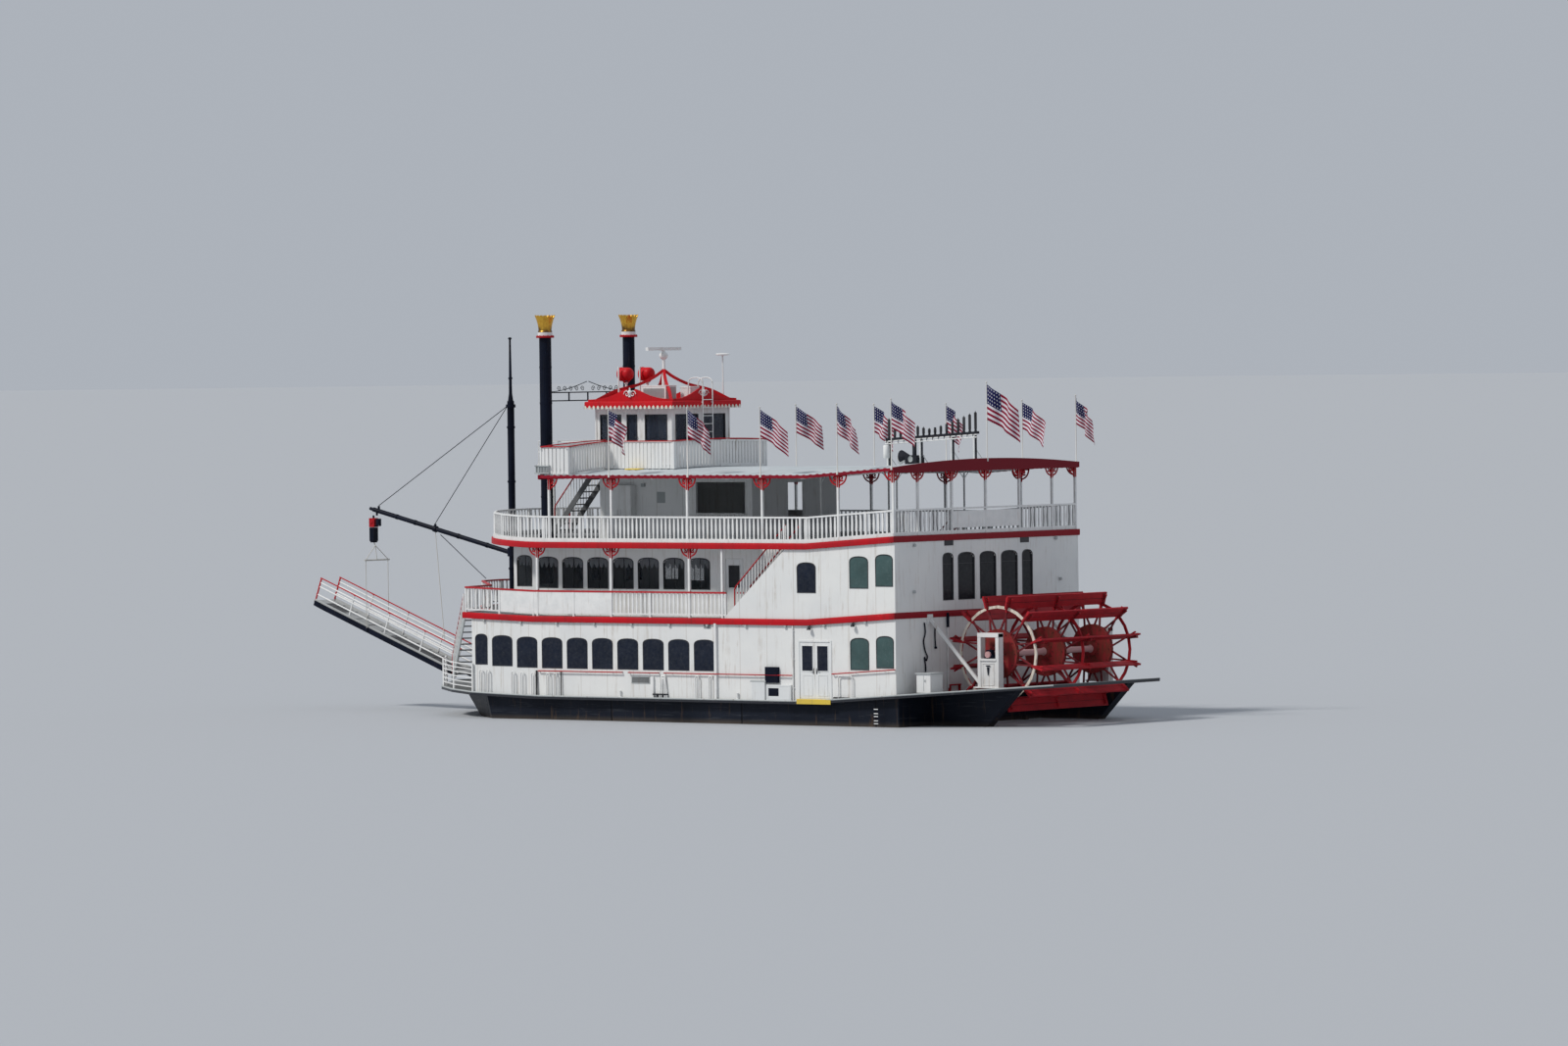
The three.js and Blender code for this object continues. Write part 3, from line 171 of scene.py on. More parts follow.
def lay(material, place, colour, roughness, height=None, depth=0.01, **plain):
    """Joins a colour, a roughness and a height in metres to the material's shader. Any other socket takes a
    plain number, or a wire."""
    shader = material.node_tree.nodes["Principled BSDF"]
    named = {"Base Color": colour, "Roughness": roughness}
    named.update({key.replace("_", " "): value for key, value in plain.items()})
    if height is not None:
        named["Normal"] = place.node("ShaderNodeBump", {}, {"Distance": depth, "Height": height})
    for key, value in named.items():
        if isinstance(value, Wire):
            material.node_tree.links.new(value.socket, shader.inputs[key])
        else:
            shader.inputs[key].default_value = value
    return material


def toned(colour, by):
    """A colour made darker or lighter."""
    return [min(1, part * by) for part in colour]


def coat(objects, material):
    """Gives the material to CAD nodes, by name, in place of the plain colour that they came with."""
    for name in objects:
        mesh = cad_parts[name].data
        mesh.materials.clear()
        mesh.materials.append(material)


aft_knuckle, fore_knuckle = -6.1, 6.5


def lift(x):
    """The sheer: how far the decks stand above their midships height at a place along the boat. They
    rise by 1 in 15 aft of one knuckle and by 1 in 30 ahead of the other."""
    if isinstance(x, Wire):
        aft = x.math("MAXIMUM", aft_knuckle - x, 0)
        fore = x.math("MAXIMUM", x - fore_knuckle, 0)
    else:
        aft = np.maximum(0, aft_knuckle - np.asarray(x, float))
        fore = np.maximum(0, np.asarray(x, float) - fore_knuckle)
    return aft * 0.0667 + fore * 0.0333


def hull_paint():
    """Fades in clouds, runs down in thin streaks, and shows plate seams every 6 m and a mud line."""
    material, place = new_finish("hull_paint")
    x, y, z = place.split()
    clouds = place.noise(0.5, 5)
    scuffs = place.stretched((0.6, 0.6, 9)).noise(1.4, 6, 0.7)
    runs = place.stretched((3.5, 3.5, 0.4)).noise(1.6, 6, 0.65)
    colour = clouds.above(0.5, 0.5).mix((0.004, 0.006, 0.012), (0.014, 0.018, 0.029))
    colour = (scuffs.above(0.62, 0.12) * 0.4).mix(colour, (0.07, 0.075, 0.085))
    colour = (runs.above(0.63, 0.1) * 0.45).mix(colour, (0.11, 0.065, 0.035))
    mud = 1 - z.above(1.1, 0.18)
    colour = (mud * (clouds * 1.3) * 0.6).clip().mix(colour, (0.13, 0.10, 0.07))
    seam = 1 - abs((x % 6.0) - 3.0).above(0.03, 0.03)
    colour = (seam * 0.8).mix(colour, (0.004, 0.004, 0.006))
    height = clouds * 0.5 + place.noise(60, 2) * 0.06 - seam * 0.5
    rough = 0.34 + scuffs * 0.25 + mud * 0.3
    return lay(material, place, colour, rough, height, 0.05, Specular_IOR_Level=0.12)


coat(["hull", "rudder_port", "rudder_starboard"], hull_paint())


# Main deck: a steel plate deck with a rounded rubbing strip along its edge, painted black outside
# and grey with grit where people walk. Four cast cleats stand on the guard.
main_deck_z = 1.87
deck_thick = 0.12


def deck_paint(name, top_z, edge_colour, under_colour, walk_colour):
    """Splits a deck by height: the walked face on top, the painted edge, and the face beneath. The
    height is taken from the sheer line, so that the split follows the deck's lift at bow and stern."""
    material, place = new_finish(name)
    x, y, z = place.split()
    up = z - lift(x) - top_z
    clouds = place.noise(0.7, 5)
    grit = place.noise(45, 3, 0.7)
    worn = place.stretched((0.5, 2.2, 1)).noise(0.8, 5, 0.65)
    walk = clouds.above(0.5, 0.5).mix(walk_colour, toned(walk_colour, 0.72))
    walk = (worn.above(0.6, 0.2) * 0.5).mix(walk, toned(walk_colour, 1.5))
    walk = (grit.above(0.62, 0.1) * 0.35).mix(walk, (0.03, 0.03, 0.03))
    edge = clouds.above(0.55, 0.4).mix(edge_colour, toned(edge_colour, 0.7))
    edge = (place.stretched((2, 2, 8)).noise(3, 5, 0.7).above(0.66, 0.08) * 0.5).mix(edge,
        (0.2, 0.18, 0.17))
    under = (clouds.above(0.6, 0.3) * 0.5).mix(under_colour, toned(under_colour, 0.75))
    top = up.above(-0.004, 0.002)
    below = 1 - up.above(0.004 - deck_thick, 0.002)
    colour = below.mix(top.mix(edge, walk), under)
    colour = up.above(0.03, 0.02).mix(colour, (0.006, 0.007, 0.012))
    seams = 1 - abs((x % 2.4) - 1.2).above(0.02, 0.02)
    height = grit * 0.25 * top - seams * 0.6 + clouds * 0.4
    return lay(material, place, colour, 0.42 + top * 0.35, height, 0.012)


coat(["main_deck"], deck_paint("main_deck_paint", main_deck_z, (0.016, 0.018, 0.026), (0.02, 0.02, 0.024),
    (0.20, 0.21, 0.21)))


def columns(*parts):
    """Places from their x, y and z, each of them a row of numbers or one number for all."""
    return np.stack(np.broadcast_arrays(*parts), axis=-1)


def unit(rows):
    """Every row at length 1."""
    return rows / np.linalg.norm(rows, axis=-1, keepdims=True)


def course(path, closed):
    """The steps before and after each point of a path and the way through it, all at length 1."""
    after = np.roll(path, -1, 0) - path
    before = path - np.roll(path, 1, 0)
    if not closed:
        after[-1] = before[-1]
        before[0] = after[0]
    before, after = unit(before), unit(after)
    return before, after, unit(after + before)


def swept(path, profile, closed=False, up=(0, 0, 1)):
    """A profile carried along a path: its first number goes to the right of the way along and its
    second up. Where the path bends, the section is drawn out in the bend's own plane, as a mitre is."""
    path = np.asarray(path, float)
    profile = np.asarray(profile, float)
    before, after, along = course(path, closed)
    side = unit(np.cross(along, up))
    high = np.cross(side, along)
    points = side[:, None] * profile[None, :, :1] + high[:, None] * profile[None, :, 1:]
    bend = after - before
    size = np.linalg.norm(bend, axis=1, keepdims=True)
    bend = np.where(size > 1e-6, bend / np.maximum(size, 1e-6), 0)
    half_angle = np.clip((along * after).sum(1), 0.4, 1)
    reach = (points * bend[:, None]).sum(2, keepdims=True)
    points = path[:, None] + points + bend[:, None] * reach * (1 / half_angle - 1)[:, None, None]
    rows, size = points.shape[:2]
    return points.reshape(-1, 3), tube_faces(rows, size, closed)


def tube_faces(rows, size, closed):
    """Quads between rings of size points, and a cap on each end where the tube is open."""
    ring = np.arange(size)
    row = np.arange(rows if closed else rows - 1)[:, None]
    after = (row + 1) % rows
    quads = np.stack([row * size + ring, row * size + (ring + 1) % size, after * size + (ring + 1) % size,
        after * size + ring], axis=-1).reshape(-1, 4)
    if closed:
        return [quads]
    return [quads, ring[None, ::-1], ring[None] + (rows - 1) * size]


def blocks(rows):
    """Square-cut bars from rows of lowest and highest x, y and z: eight corners for each row."""
    rows = np.asarray(rows, float).reshape(-1, 6)
    pick = np.array([[0, 2, 4], [1, 2, 4], [1, 3, 4], [0, 3, 4], [0, 2, 5], [1, 2, 5], [1, 3, 5],
        [0, 3, 5]])
    sides = np.array([[0, 3, 2, 1], [4, 5, 6, 7], [0, 1, 5, 4], [1, 2, 6, 5], [2, 3, 7, 6], [3, 0, 4, 7]])
    faces = sides[None] + 8 * np.arange(len(rows))[:, None, None]
    return rows[:, pick].reshape(-1, 3), [faces.reshape(-1, 4)]


def oblong(half, low, high):
    """A section or an outline as wide as twice half, from low to high."""
    return [[-half, low], [half, low], [half, high], [-half, high]]


planes = {"x": [1, 2, 0], "y": [0, 2, 1], "z": [0, 1, 2]}


def cut_board(outline, low, high, axis="y"):
    """A flat outline given a thickness: it lies in x and z between two y, in y and z between two x,
    or in x and y between two z."""
    outline = np.asarray(outline, float)
    count = len(outline)
    points = np.zeros((2, count, 3))
    points[..., planes[axis][:2]] = outline
    points[..., planes[axis][2]] = [[low], [high]]
    ring = np.arange(count)
    walls = np.stack([ring, (ring + 1) % count, (ring + 1) % count + count, ring + count], axis=1)
    return points.reshape(-1, 3), [walls, ring[None, ::-1], ring[None] + count]


def turned(centre, rows, sides=16):
    """A profile of radius and height turned about the upright line through centre."""
    rows = np.asarray(rows, float)
    angle = np.linspace(0, 2 * np.pi, sides, endpoint=False)
    ring = columns(np.cos(angle), np.sin(angle))
    points = np.zeros((len(rows), sides, 3))
    points[..., :2] = rows[:, None, :1] * ring[None]
    points[..., 2] = rows[:, 1:]
    return points.reshape(-1, 3) + np.asarray(centre, float), tube_faces(len(rows), sides, False)


def copies(part, offsets):
    """The same part at each offset."""
    points, faces = part
    offsets = np.asarray(offsets, float).reshape(-1, 3)
    step = len(points) * np.arange(len(offsets))
    moved = (points[None] + offsets[:, None]).reshape(-1, 3)
    return moved, [(face[None] + step[:, None, None]).reshape(-1, face.shape[1]) for face in faces]


def across(part):
    """The part again on the other side of the boat."""
    points, faces = part
    return points * [1, -1, 1], faces


def circle(radius, sides=8):
    """Points round a circle, with a flat side downwards."""
    angle = np.linspace(0, 2 * np.pi, sides, endpoint=False) + np.pi / sides
    return radius * columns(np.cos(angle), np.sin(angle))


def pipe(path, radius, sides=8, up=(0, 0, 1)):
    """A round bar along a path."""
    return swept(path, circle(radius, sides), False, up)


def both(parts):
    """Parts on the port side and again on the starboard side."""
    return parts + [across(part) for part in parts]


def lying(rows, centre, sides=16, axis="x", way=1):
    """A turned profile laid on its side: its heights run along x, or along y the way given."""
    points, faces = turned((0, 0, 0), rows, sides)
    order = {"x": [2, 1, 0], "y": [0, 2, 1]}[axis]
    return points[:, order] * [1, way, 1] + np.asarray(centre, float), faces


def piece(name, parts, material, body="boat", bevel=0):
    """Lays the parts end to end in one mesh, turns every face outwards and hangs it on its body."""
    starts = np.cumsum([0] + [len(points) for points, _ in parts])
    points = np.concatenate([points for points, _ in parts])
    faces = [face + start for (_, group), start in zip(parts, starts) for face in group]
    corners = np.concatenate([face.ravel() for face in faces])
    sizes = np.concatenate([np.full(len(face), face.shape[1]) for face in faces])
    mesh = bpy.data.meshes.new(name)
    mesh.vertices.add(len(points))
    mesh.vertices.foreach_set("co", points.astype(np.float32).ravel())
    mesh.loops.add(len(corners))
    mesh.loops.foreach_set("vertex_index", corners.astype(np.int32))
    mesh.polygons.add(len(sizes))
    mesh.polygons.foreach_set("loop_start", (np.cumsum(sizes) - sizes).astype(np.int32))
    mesh.update(calc_edges=True)
    mesh.validate()
    shell = bmesh.new()
    shell.from_mesh(mesh)
    bmesh.ops.recalc_face_normals(shell, faces=shell.faces)
    shell.to_mesh(mesh)
    shell.free()
    mesh.shade_smooth()
    mesh.set_sharp_from_angle(angle=np.radians(50))
    mesh.materials.append(material)
    made = bpy.data.objects.new(name, mesh)
    bpy.context.scene.collection.objects.link(made)
    if bevel:
        rounded = made.modifiers.new("edges", "BEVEL")
        rounded.width = bevel
        rounded.segments = 1
    if body:
        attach(made, body)
    return made


def enamel(name, colour, faded, stain, gloss=0.4, streaks=0.35, dents=0.35, joints=0.0):
    """Painted steel: clouds of fading, streaks that run down, a stain that the streaks carry, hollows
    between the frames, the roller's fine skin, and welded joints where the plates meet."""
    material, place = new_finish(name)
    clouds = place.noise(0.45, 4)
    patches = place.noise(2.7, 5, 0.6)
    runs = place.stretched((6, 6, 0.5)).noise(1.2, 6, 0.65)
    tone = clouds.above(0.5, 0.45).mix(colour, faded)
    tone = (runs.above(0.62, 0.16) * patches.above(0.45, 0.3) * streaks).mix(tone, stain)
    specks = place.noise(14, 4, 0.7).above(0.74, 0.03) * 0.5 * streaks
    tone = specks.mix(tone, toned(stain, 0.5))
    height = place.noise(1.1, 2) * dents + place.noise(90, 2) * 0.03
    if joints:
        x, y, z = place.split()
        seam = 1 - abs((x % joints) - joints / 2).above(0.012, 0.012)
        tone = (seam * 0.35).mix(tone, stain)
        height = height + seam * 0.12
    rough = gloss + patches * 0.16
    return lay(material, place, tone, rough, height, 0.03, Specular_IOR_Level=0.28)


strip_rows = np.array([[-15.15, 3.12], [-10.0, 5.45], [-4.0, 5.45], [3.0, 5.45], [9.4, 5.45]])
bow_rows = np.array([[10.9, 4.75], [12.3, 3.7], [13.3, 2.4], [13.8, 1.2], [14.0, 0.0]])


def around(half, top_z, inset):
    """A line along the deck edge from the port quarter round the bow to the starboard quarter, at
    the height of the sheer."""
    half = np.asarray(half, float)
    fine = np.concatenate([np.linspace(a, b, 5)[:-1] for a, b in zip(half[:-1], half[1:])] + [half[-1:]])
    fine = np.maximum(fine - [0, inset], [-99, 0])
    ring = np.concatenate([fine, fine[-2::-1] * [1, -1]])
    return np.column_stack([ring, top_z + lift(ring[:, 0])])


grey_paint = enamel("grey_trim", (0.36, 0.39, 0.40), (0.46, 0.48, 0.48), (0.16, 0.11, 0.07), 0.5, 0.6)
edge_path = around(np.concatenate([strip_rows, bow_rows]), main_deck_z - 0.012, 0.012)
piece("deck_rub_strip", [pipe(edge_path, 0.03)], grey_paint)


# Main cabin walls: steel plate in white enamel, with pressed window frames round dark glass. The
# windows have low arched heads, and those aft are tinted green.
white_wall = enamel("white_wall", (0.80, 0.80, 0.78), (0.70, 0.71, 0.71), (0.34, 0.26, 0.18), 0.38, 0.45,
    0.5, 1.22)
coat(["main_cabin_port", "main_cabin_starboard", "main_cabin_front", "main_cabin_stern", "aft_cabin_port",
    "aft_cabin_starboard", "aft_cabin_stern", "fore_cabin_port", "fore_cabin_starboard",
    "fore_cabin_front"], white_wall)
second_deck_z = 4.71
wall_y = 5.33


def on_wall(x0, x1, z0, z1, proud, back=-0.002):
    """A strip on the side wall, between two distances from its face."""
    return [x0, x1, wall_y + back, wall_y + proud, z0, z1]


sill, head, window_width, window_pitch = 1.0, 2.07, 0.92, 1.175


def arch(x0, x1, low, high, grow=0.004):
    """A window outline: straight sides and sill, and a head of two quarter curves, each the mean of
    its corner and its ends weighted by (1-t)^2, 2t(1-t) and t^2. It grows past the cut in the wall."""
    crown = min(0.17, (x1 - x0) * 0.3)
    middle = (x0 + x1) / 2
    t = np.linspace(0, 1, 6)[:, None]
    weights = np.hstack([(1 - t) ** 2, 2 * t * (1 - t), t ** 2])
    right = weights @ [[x1, high - crown], [x1, high], [middle, high]]
    left = weights @ [[middle, high], [x0, high], [x0, high - crown]]
    points = np.concatenate([[[x0, low], [x1, low]], right, left[1:]])
    return columns(middle + (points[:, 0] - middle) * (1 + 2 * grow / (x1 - x0)),
        points[:, 1] + np.where(points[:, 1] > low + 0.01, grow, -grow))


def opening(x0, x1, low, high):
    """The outline of a square-headed window or door."""
    return np.array([[x0, low], [x1, low], [x1, high], [x0, high]])


def port_glass(name, colour, gloss, see_through=1.0):
    """Glass that mirrors the pale sky, with a film of dust in patches."""
    material, place = new_finish(name)
    haze = place.noise(1.3, 4)
    dust = place.noise(8, 5, 0.7).above(0.55, 0.4) * 0.22
    tone = haze.above(0.5, 0.6).mix(colour, toned(colour, 1.9))
    tone = (dust * 0.3).mix(tone, (0.3, 0.3, 0.28))
    height = place.noise(0.8, 2)
    return lay(material, place, tone, gloss + dust, height, 0.01, Alpha=see_through,
        Specular_IOR_Level=0.18)


dark_glass = port_glass("dark_glass", (0.004, 0.007, 0.016), 0.12)
green_glass = port_glass("green_glass", (0.036, 0.066, 0.066), 0.14)
frame_paint = enamel("window_frame_paint", (0.02, 0.022, 0.028), (0.05, 0.05, 0.055), (0.1, 0.08, 0.06))


def framed(outline, depth, out, wide=0.03, proud=0.02, axis="y"):
    """A frame round a closed outline on a wall face at depth: the section is carried round it, and
    stands proud of the wall on the side that out points to."""
    u, w = outline.T
    path = columns(u, depth, w) if axis == "y" else columns(depth, u, w)
    outward = np.array([0, out, 0] if axis == "y" else [out, 0, 0])
    spread = np.cross(course(path, True)[2], outward)
    spread *= np.sign(((path - path.mean(0)) * spread).sum(1, keepdims=True))
    section = np.array([[-0.008, -0.05], [-0.008, proud * 0.6], [0.0, proud], [wide * 0.8, proud],
        [wide, proud * 0.5], [wide, -0.004]])
    points = path[:, None] + spread[:, None] * section[None, :, :1] + outward * section[None, :, 1:]
    return points.reshape(-1, 3), tube_faces(len(path), len(section), True)


def window_row(deck_z, first, raised, start, count):
    """Sides, sill and head of a row of windows: the first in its own place and by so much higher, the
    others at an even pitch aft of the start and raised by the sheer."""
    spans = [first] + [(start - window_pitch * k - window_width, start - window_pitch * k)
        for k in range(count)]
    rises = [raised] + [lift((x0 + x1) / 2) for x0, x1 in spans[1:]]
    return [(x0, x1, deck_z + sill + rise, deck_z + head + rise) for (x0, x1), rise in zip(spans, rises)]


main_frames, main_panes, green_panes = [], [], []
for size in window_row(main_deck_z, (8.68, 9.22), 0.09, 8.42, 9):
    outline = arch(*size)
    main_frames.append(framed(outline, wall_y, 1, 0.022, 0.012))
    main_panes.append(cut_board(outline, wall_y - 0.045, wall_y + 0.004))
upper_aft_frames = []
for deck_z in (main_deck_z, second_deck_z):
    for x0, x1 in ((-8.8, -8.02), (-9.89, -9.17)):
        rise = deck_z + lift((x0 + x1) / 2) - 0.02
        outline = arch(x0, x1, sill + rise, head + rise)
        upper_aft_frames.append(framed(outline, wall_y, 1, 0.028, 0.016))
        green_panes.append(cut_board(outline, wall_y - 0.045, wall_y + 0.004))
piece("main_window_frames", both(main_frames), frame_paint)
piece("main_window_glass", both(main_panes), dark_glass)
piece("aft_window_frames", both(upper_aft_frames), frame_paint)
piece("aft_window_glass", both(green_panes), green_glass)


# Double doors amidships: white panelled leaves with a dark pane, a lever handle and a kick plate,
# each on its own hinge. The header and jambs stay on the wall.
door_paint = enamel("door_paint", (0.78, 0.79, 0.78), (0.66, 0.68, 0.69), (0.30, 0.24, 0.18), 0.36, 0.6)
door_low, door_high = main_deck_z + 0.09, main_deck_z + 2.06
leaf_edges = {"fore": (-6.417, -5.746), "aft": (-7.094, -6.423)}
sides = (("port", 1), ("starboard", -1))
coat([f"door_{side}_{end}" for side, hand in sides for end in leaf_edges], door_paint)
for side, hand in sides:
    for end, (x0, x1) in leaf_edges.items():
        pane = opening(x0 + 0.1, x1 - 0.1, door_low + 0.96, door_high - 0.13)
        free, inward = (x0, 1) if end == "fore" else (x1, -1)
        handle_x = free + inward * 0.07
        trims = [framed(pane, wall_y, 1, 0.03, 0.012),
            blocks([on_wall(x0 + 0.12, x1 - 0.12, door_low + 0.09, door_low + 0.12, 0.01),
            on_wall(x0 + 0.12, x1 - 0.12, door_low + 0.8, door_low + 0.83, 0.01),
            on_wall(x0 + 0.12, x0 + 0.15, door_low + 0.12, door_low + 0.8, 0.01),
            on_wall(x1 - 0.15, x1 - 0.12, door_low + 0.12, door_low + 0.8, 0.01)])]
        lever_z = door_low + 0.98
        lever = [pipe([[handle_x, wall_y - 0.01, lever_z], [handle_x, wall_y + 0.04, lever_z],
            [free + inward * 0.09, wall_y + 0.05, lever_z],
            [free + inward * 0.20, wall_y + 0.05, door_low + 0.97]], 0.011),
            blocks([on_wall(handle_x - 0.022, handle_x + 0.022, door_low + 0.86, door_low + 1.06, 0.008)])]
        glass = [cut_board(pane, wall_y + 0.001, wall_y + 0.006)]
        for kind, parts, material in (("trim", trims, door_paint), ("lever", lever, frame_paint),
                ("pane", glass, dark_glass)):
            if hand < 0:
                parts = [across(part) for part in parts]
            piece(f"door_{kind}_{side}_{end}", parts, material, f"door_{side}_{end}")
casing = [blocks([on_wall(-7.16, -5.68, door_high, door_high + 0.07, 0.022, -0.01),
    on_wall(-7.17, -7.1, door_low - 0.08, door_high, 0.022, -0.01),
    on_wall(-5.74, -5.67, door_low - 0.08, door_high, 0.022, -0.01)])]
piece("door_casing", both(casing), door_paint, bevel=0.005)


# Second and top decks: steel decks with a deep red edge board, grey walking paint with grit above and white
# undersides. The edge is painted darker red across the stern, as painted shade on the faces that look aft.
red_edge = (0.46, 0.012, 0.018)
top_deck_z = 7.37
for node, top_z in (("second_deck", second_deck_z), ("top_deck", top_deck_z)):
    coat([node], deck_paint(f"{node}_paint", top_z, red_edge, (0.62, 0.62, 0.61), (0.22, 0.23, 0.235)))


def red_enamel(name, colour=(0.50, 0.010, 0.018), faded=(0.36, 0.016, 0.022), gloss=0.34, painted_stern_shade=0.0):
    """Signal red enamel that goes chalky in patches, with darker runs below the joints. The last number is
    how far it darkens round the stern, as painted shade on the faces that look aft."""
    material, place = new_finish(name)
    clouds = place.noise(0.8, 4)
    runs = place.stretched((5, 5, 0.8)).noise(1.5, 6, 0.65)
    chalk = place.noise(6, 5, 0.7)
    tone = clouds.above(0.52, 0.4).mix(colour, faded)
    tone = (runs.above(0.62, 0.15) * 0.45).mix(tone, (0.16, 0.02, 0.02))
    tone = (chalk.above(0.68, 0.1) * 0.3).mix(tone, (0.62, 0.16, 0.15))
    if painted_stern_shade:
        x, y, z = place.split()
        # Painted shade: aft of the stern wall the red is darkened, as if it lay in shadow.
        tone = ((1 - x.above(-9.9, 0.3)) * painted_stern_shade).mix(tone, (0.17, 0.012, 0.02))
    height = place.noise(3, 3) * 0.3 + place.noise(110, 2) * 0.05
    return lay(material, place, tone, gloss + chalk * 0.25, height, 0.008, Specular_IOR_Level=0.1)


# The edge boards take painted shade across the stern.
red_paint = red_enamel("red_edge_paint", painted_stern_shade=0.75)
deck_y = 5.39
second_half = [[x, deck_y] for x in (-10, -8, aft_knuckle, 0, fore_knuckle, 9.75)] + [[10.15, 3.4],
    [12.4, 1.3], [12.65, 0]]


def rounded_front(half_width, count):
    """The top deck's front from its port side to the centreline: a quarter of an ellipse."""
    angle = np.pi / 2 * (1 - np.arange(count) / (count - 1))
    return columns(6.0 + 5.2 * np.cos(angle), half_width * np.sin(angle))


top_half = np.concatenate([[[x, deck_y] for x in (-10, -8, aft_knuckle, 0)], rounded_front(deck_y, 13)])


def edge_line(half, top_z):
    """A closed line round a deck's edge, along the sides, round the bow and across the stern."""
    half = np.asarray(half, float)
    ring = np.concatenate([half, half[-2::-1] * [1, -1]])
    return np.column_stack([ring, top_z + lift(ring[:, 0])])


board_section = np.array([[-0.008, -0.205], [-0.024, -0.195], [-0.028, -0.10], [-0.024, 0.005],
    [-0.012, 0.016], [0.02, 0.016], [0.02, 0.001], [0.0, 0.0], [0.0, -0.125], [0.004, -0.2]])
for name, half, top_z in (("second_deck_edge", second_half, second_deck_z),
        ("top_deck_edge", top_half, top_deck_z)):
    piece(name, [swept(edge_line(half, top_z), board_section, True)], red_paint)


# Upper cabin: the same steel walls with arched windows, see-through ahead with a scalloped valance
# behind each pane, and tall windows in the stern wall. Doors close the front openings.
clear_glass = port_glass("clear_glass", (0.010, 0.014, 0.020), 0.08, 0.30)
smoked_glass = port_glass("smoked_glass", (0.008, 0.009, 0.012), 0.10)
valance_cloth = enamel("valance_cloth", (0.55, 0.57, 0.60), (0.42, 0.44, 0.47), (0.2, 0.2, 0.2), 0.8, 0.5)
fore_y = 4.2


def scallops(x0, x1, top, deep, y, count=4):
    """A valance: a strip whose lower edge falls in count half circles and rises between them."""
    u = np.linspace(x0, x1, count * 6 + 1)
    drop = deep * (0.45 + 0.55 * np.abs(np.sin(np.linspace(0, count * np.pi, len(u)))))
    ripple = 0.008 * np.sin(np.linspace(0, count * 4 * np.pi, len(u)))
    upper = columns(u, y + ripple, top)
    lower = columns(u, y + ripple, top - drop)
    size = len(u)
    strip = np.arange(size - 1)
    near = np.stack([strip, strip + 1, strip + 1 + size, strip + size], axis=1)
    thick = np.array([0, 0.006, 0])
    ring = np.concatenate([np.arange(size), 2 * size - 1 - np.arange(size)])
    nearer = np.roll(ring, -1)
    rim = np.stack([ring, nearer, nearer + 2 * size, ring + 2 * size], axis=1)
    return np.concatenate([upper, lower, upper - thick, lower - thick]), [near, near[:, ::-1] + 2 * size,
        rim]


fore_frames, fore_panes, fore_valances = [], [], []
for x0, x1, low, high in window_row(second_deck_z, (7.49, 8.15), 0.06, 7.18, 7):
    outline = arch(x0, x1, low, high)
    middle = (x0 + x1) / 2
    fore_frames.append(framed(outline, fore_y, 1, 0.03, 0.016))
    fore_frames.append(blocks([[middle - 0.012, middle + 0.012, fore_y - 0.06, fore_y - 0.045, low,
        high - 0.02]]))
    fore_panes.append(cut_board(outline, fore_y - 0.045, fore_y - 0.03))
    fore_valances.append(scallops(x0 + 0.02, x1 - 0.02, high - 0.02, 0.34, fore_y - 0.062))
room_door = opening(-2.29, -1.53, second_deck_z + 0.1, second_deck_z + 2.05)
door_window = opening(-2.17, -1.65, second_deck_z + 1.05, second_deck_z + 1.85)
fore_door = [framed(room_door, fore_y, 1, 0.05, 0.02), framed(door_window, fore_y - 0.012, 1, 0.03, 0.014),
    cut_board(room_door, fore_y - 0.06, fore_y - 0.02)]
piece("fore_window_frames", both(fore_frames), frame_paint)
piece("fore_window_glass", both(fore_panes), clear_glass)
piece("fore_valances", both(fore_valances), valance_cloth)
piece("fore_cabin_doors", both(fore_door), door_paint)
piece("fore_door_glass", both([cut_board(door_window, fore_y - 0.022, fore_y - 0.013)]), smoked_glass)

side_pane = arch(-6.47, -5.68, second_deck_z + sill - 0.04, second_deck_z + head - 0.09)
piece("stair_window_frames", both([framed(side_pane, wall_y, 1, 0.028, 0.016)]), frame_paint)
piece("stair_window_glass", both([cut_board(side_pane, wall_y - 0.045, wall_y + 0.004)]), dark_glass)

stern_x = -10.0
stern_base = second_deck_z + 0.26
stern_frames, stern_panes = [], []
for y0, y1 in [(-0.44, 0.44), (0.8, 1.7), (-1.7, -0.8), (2.03, 2.58), (-2.58, -2.03)]:
    outline = arch(y0, y1, stern_base + 0.39, stern_base + 2.0)
    stern_frames.append(framed(outline, stern_x, -1, 0.03, 0.016, "x"))
    stern_panes.append(cut_board(outline, stern_x + 0.03, stern_x + 0.045, "x"))
    stern_frames.append(blocks([[stern_x + 0.02, stern_x + 0.03, y0, y1, stern_base + 1.62,
        stern_base + 1.65]]))
piece("stern_window_frames", stern_frames, frame_paint)
piece("stern_window_glass", stern_panes, smoked_glass)

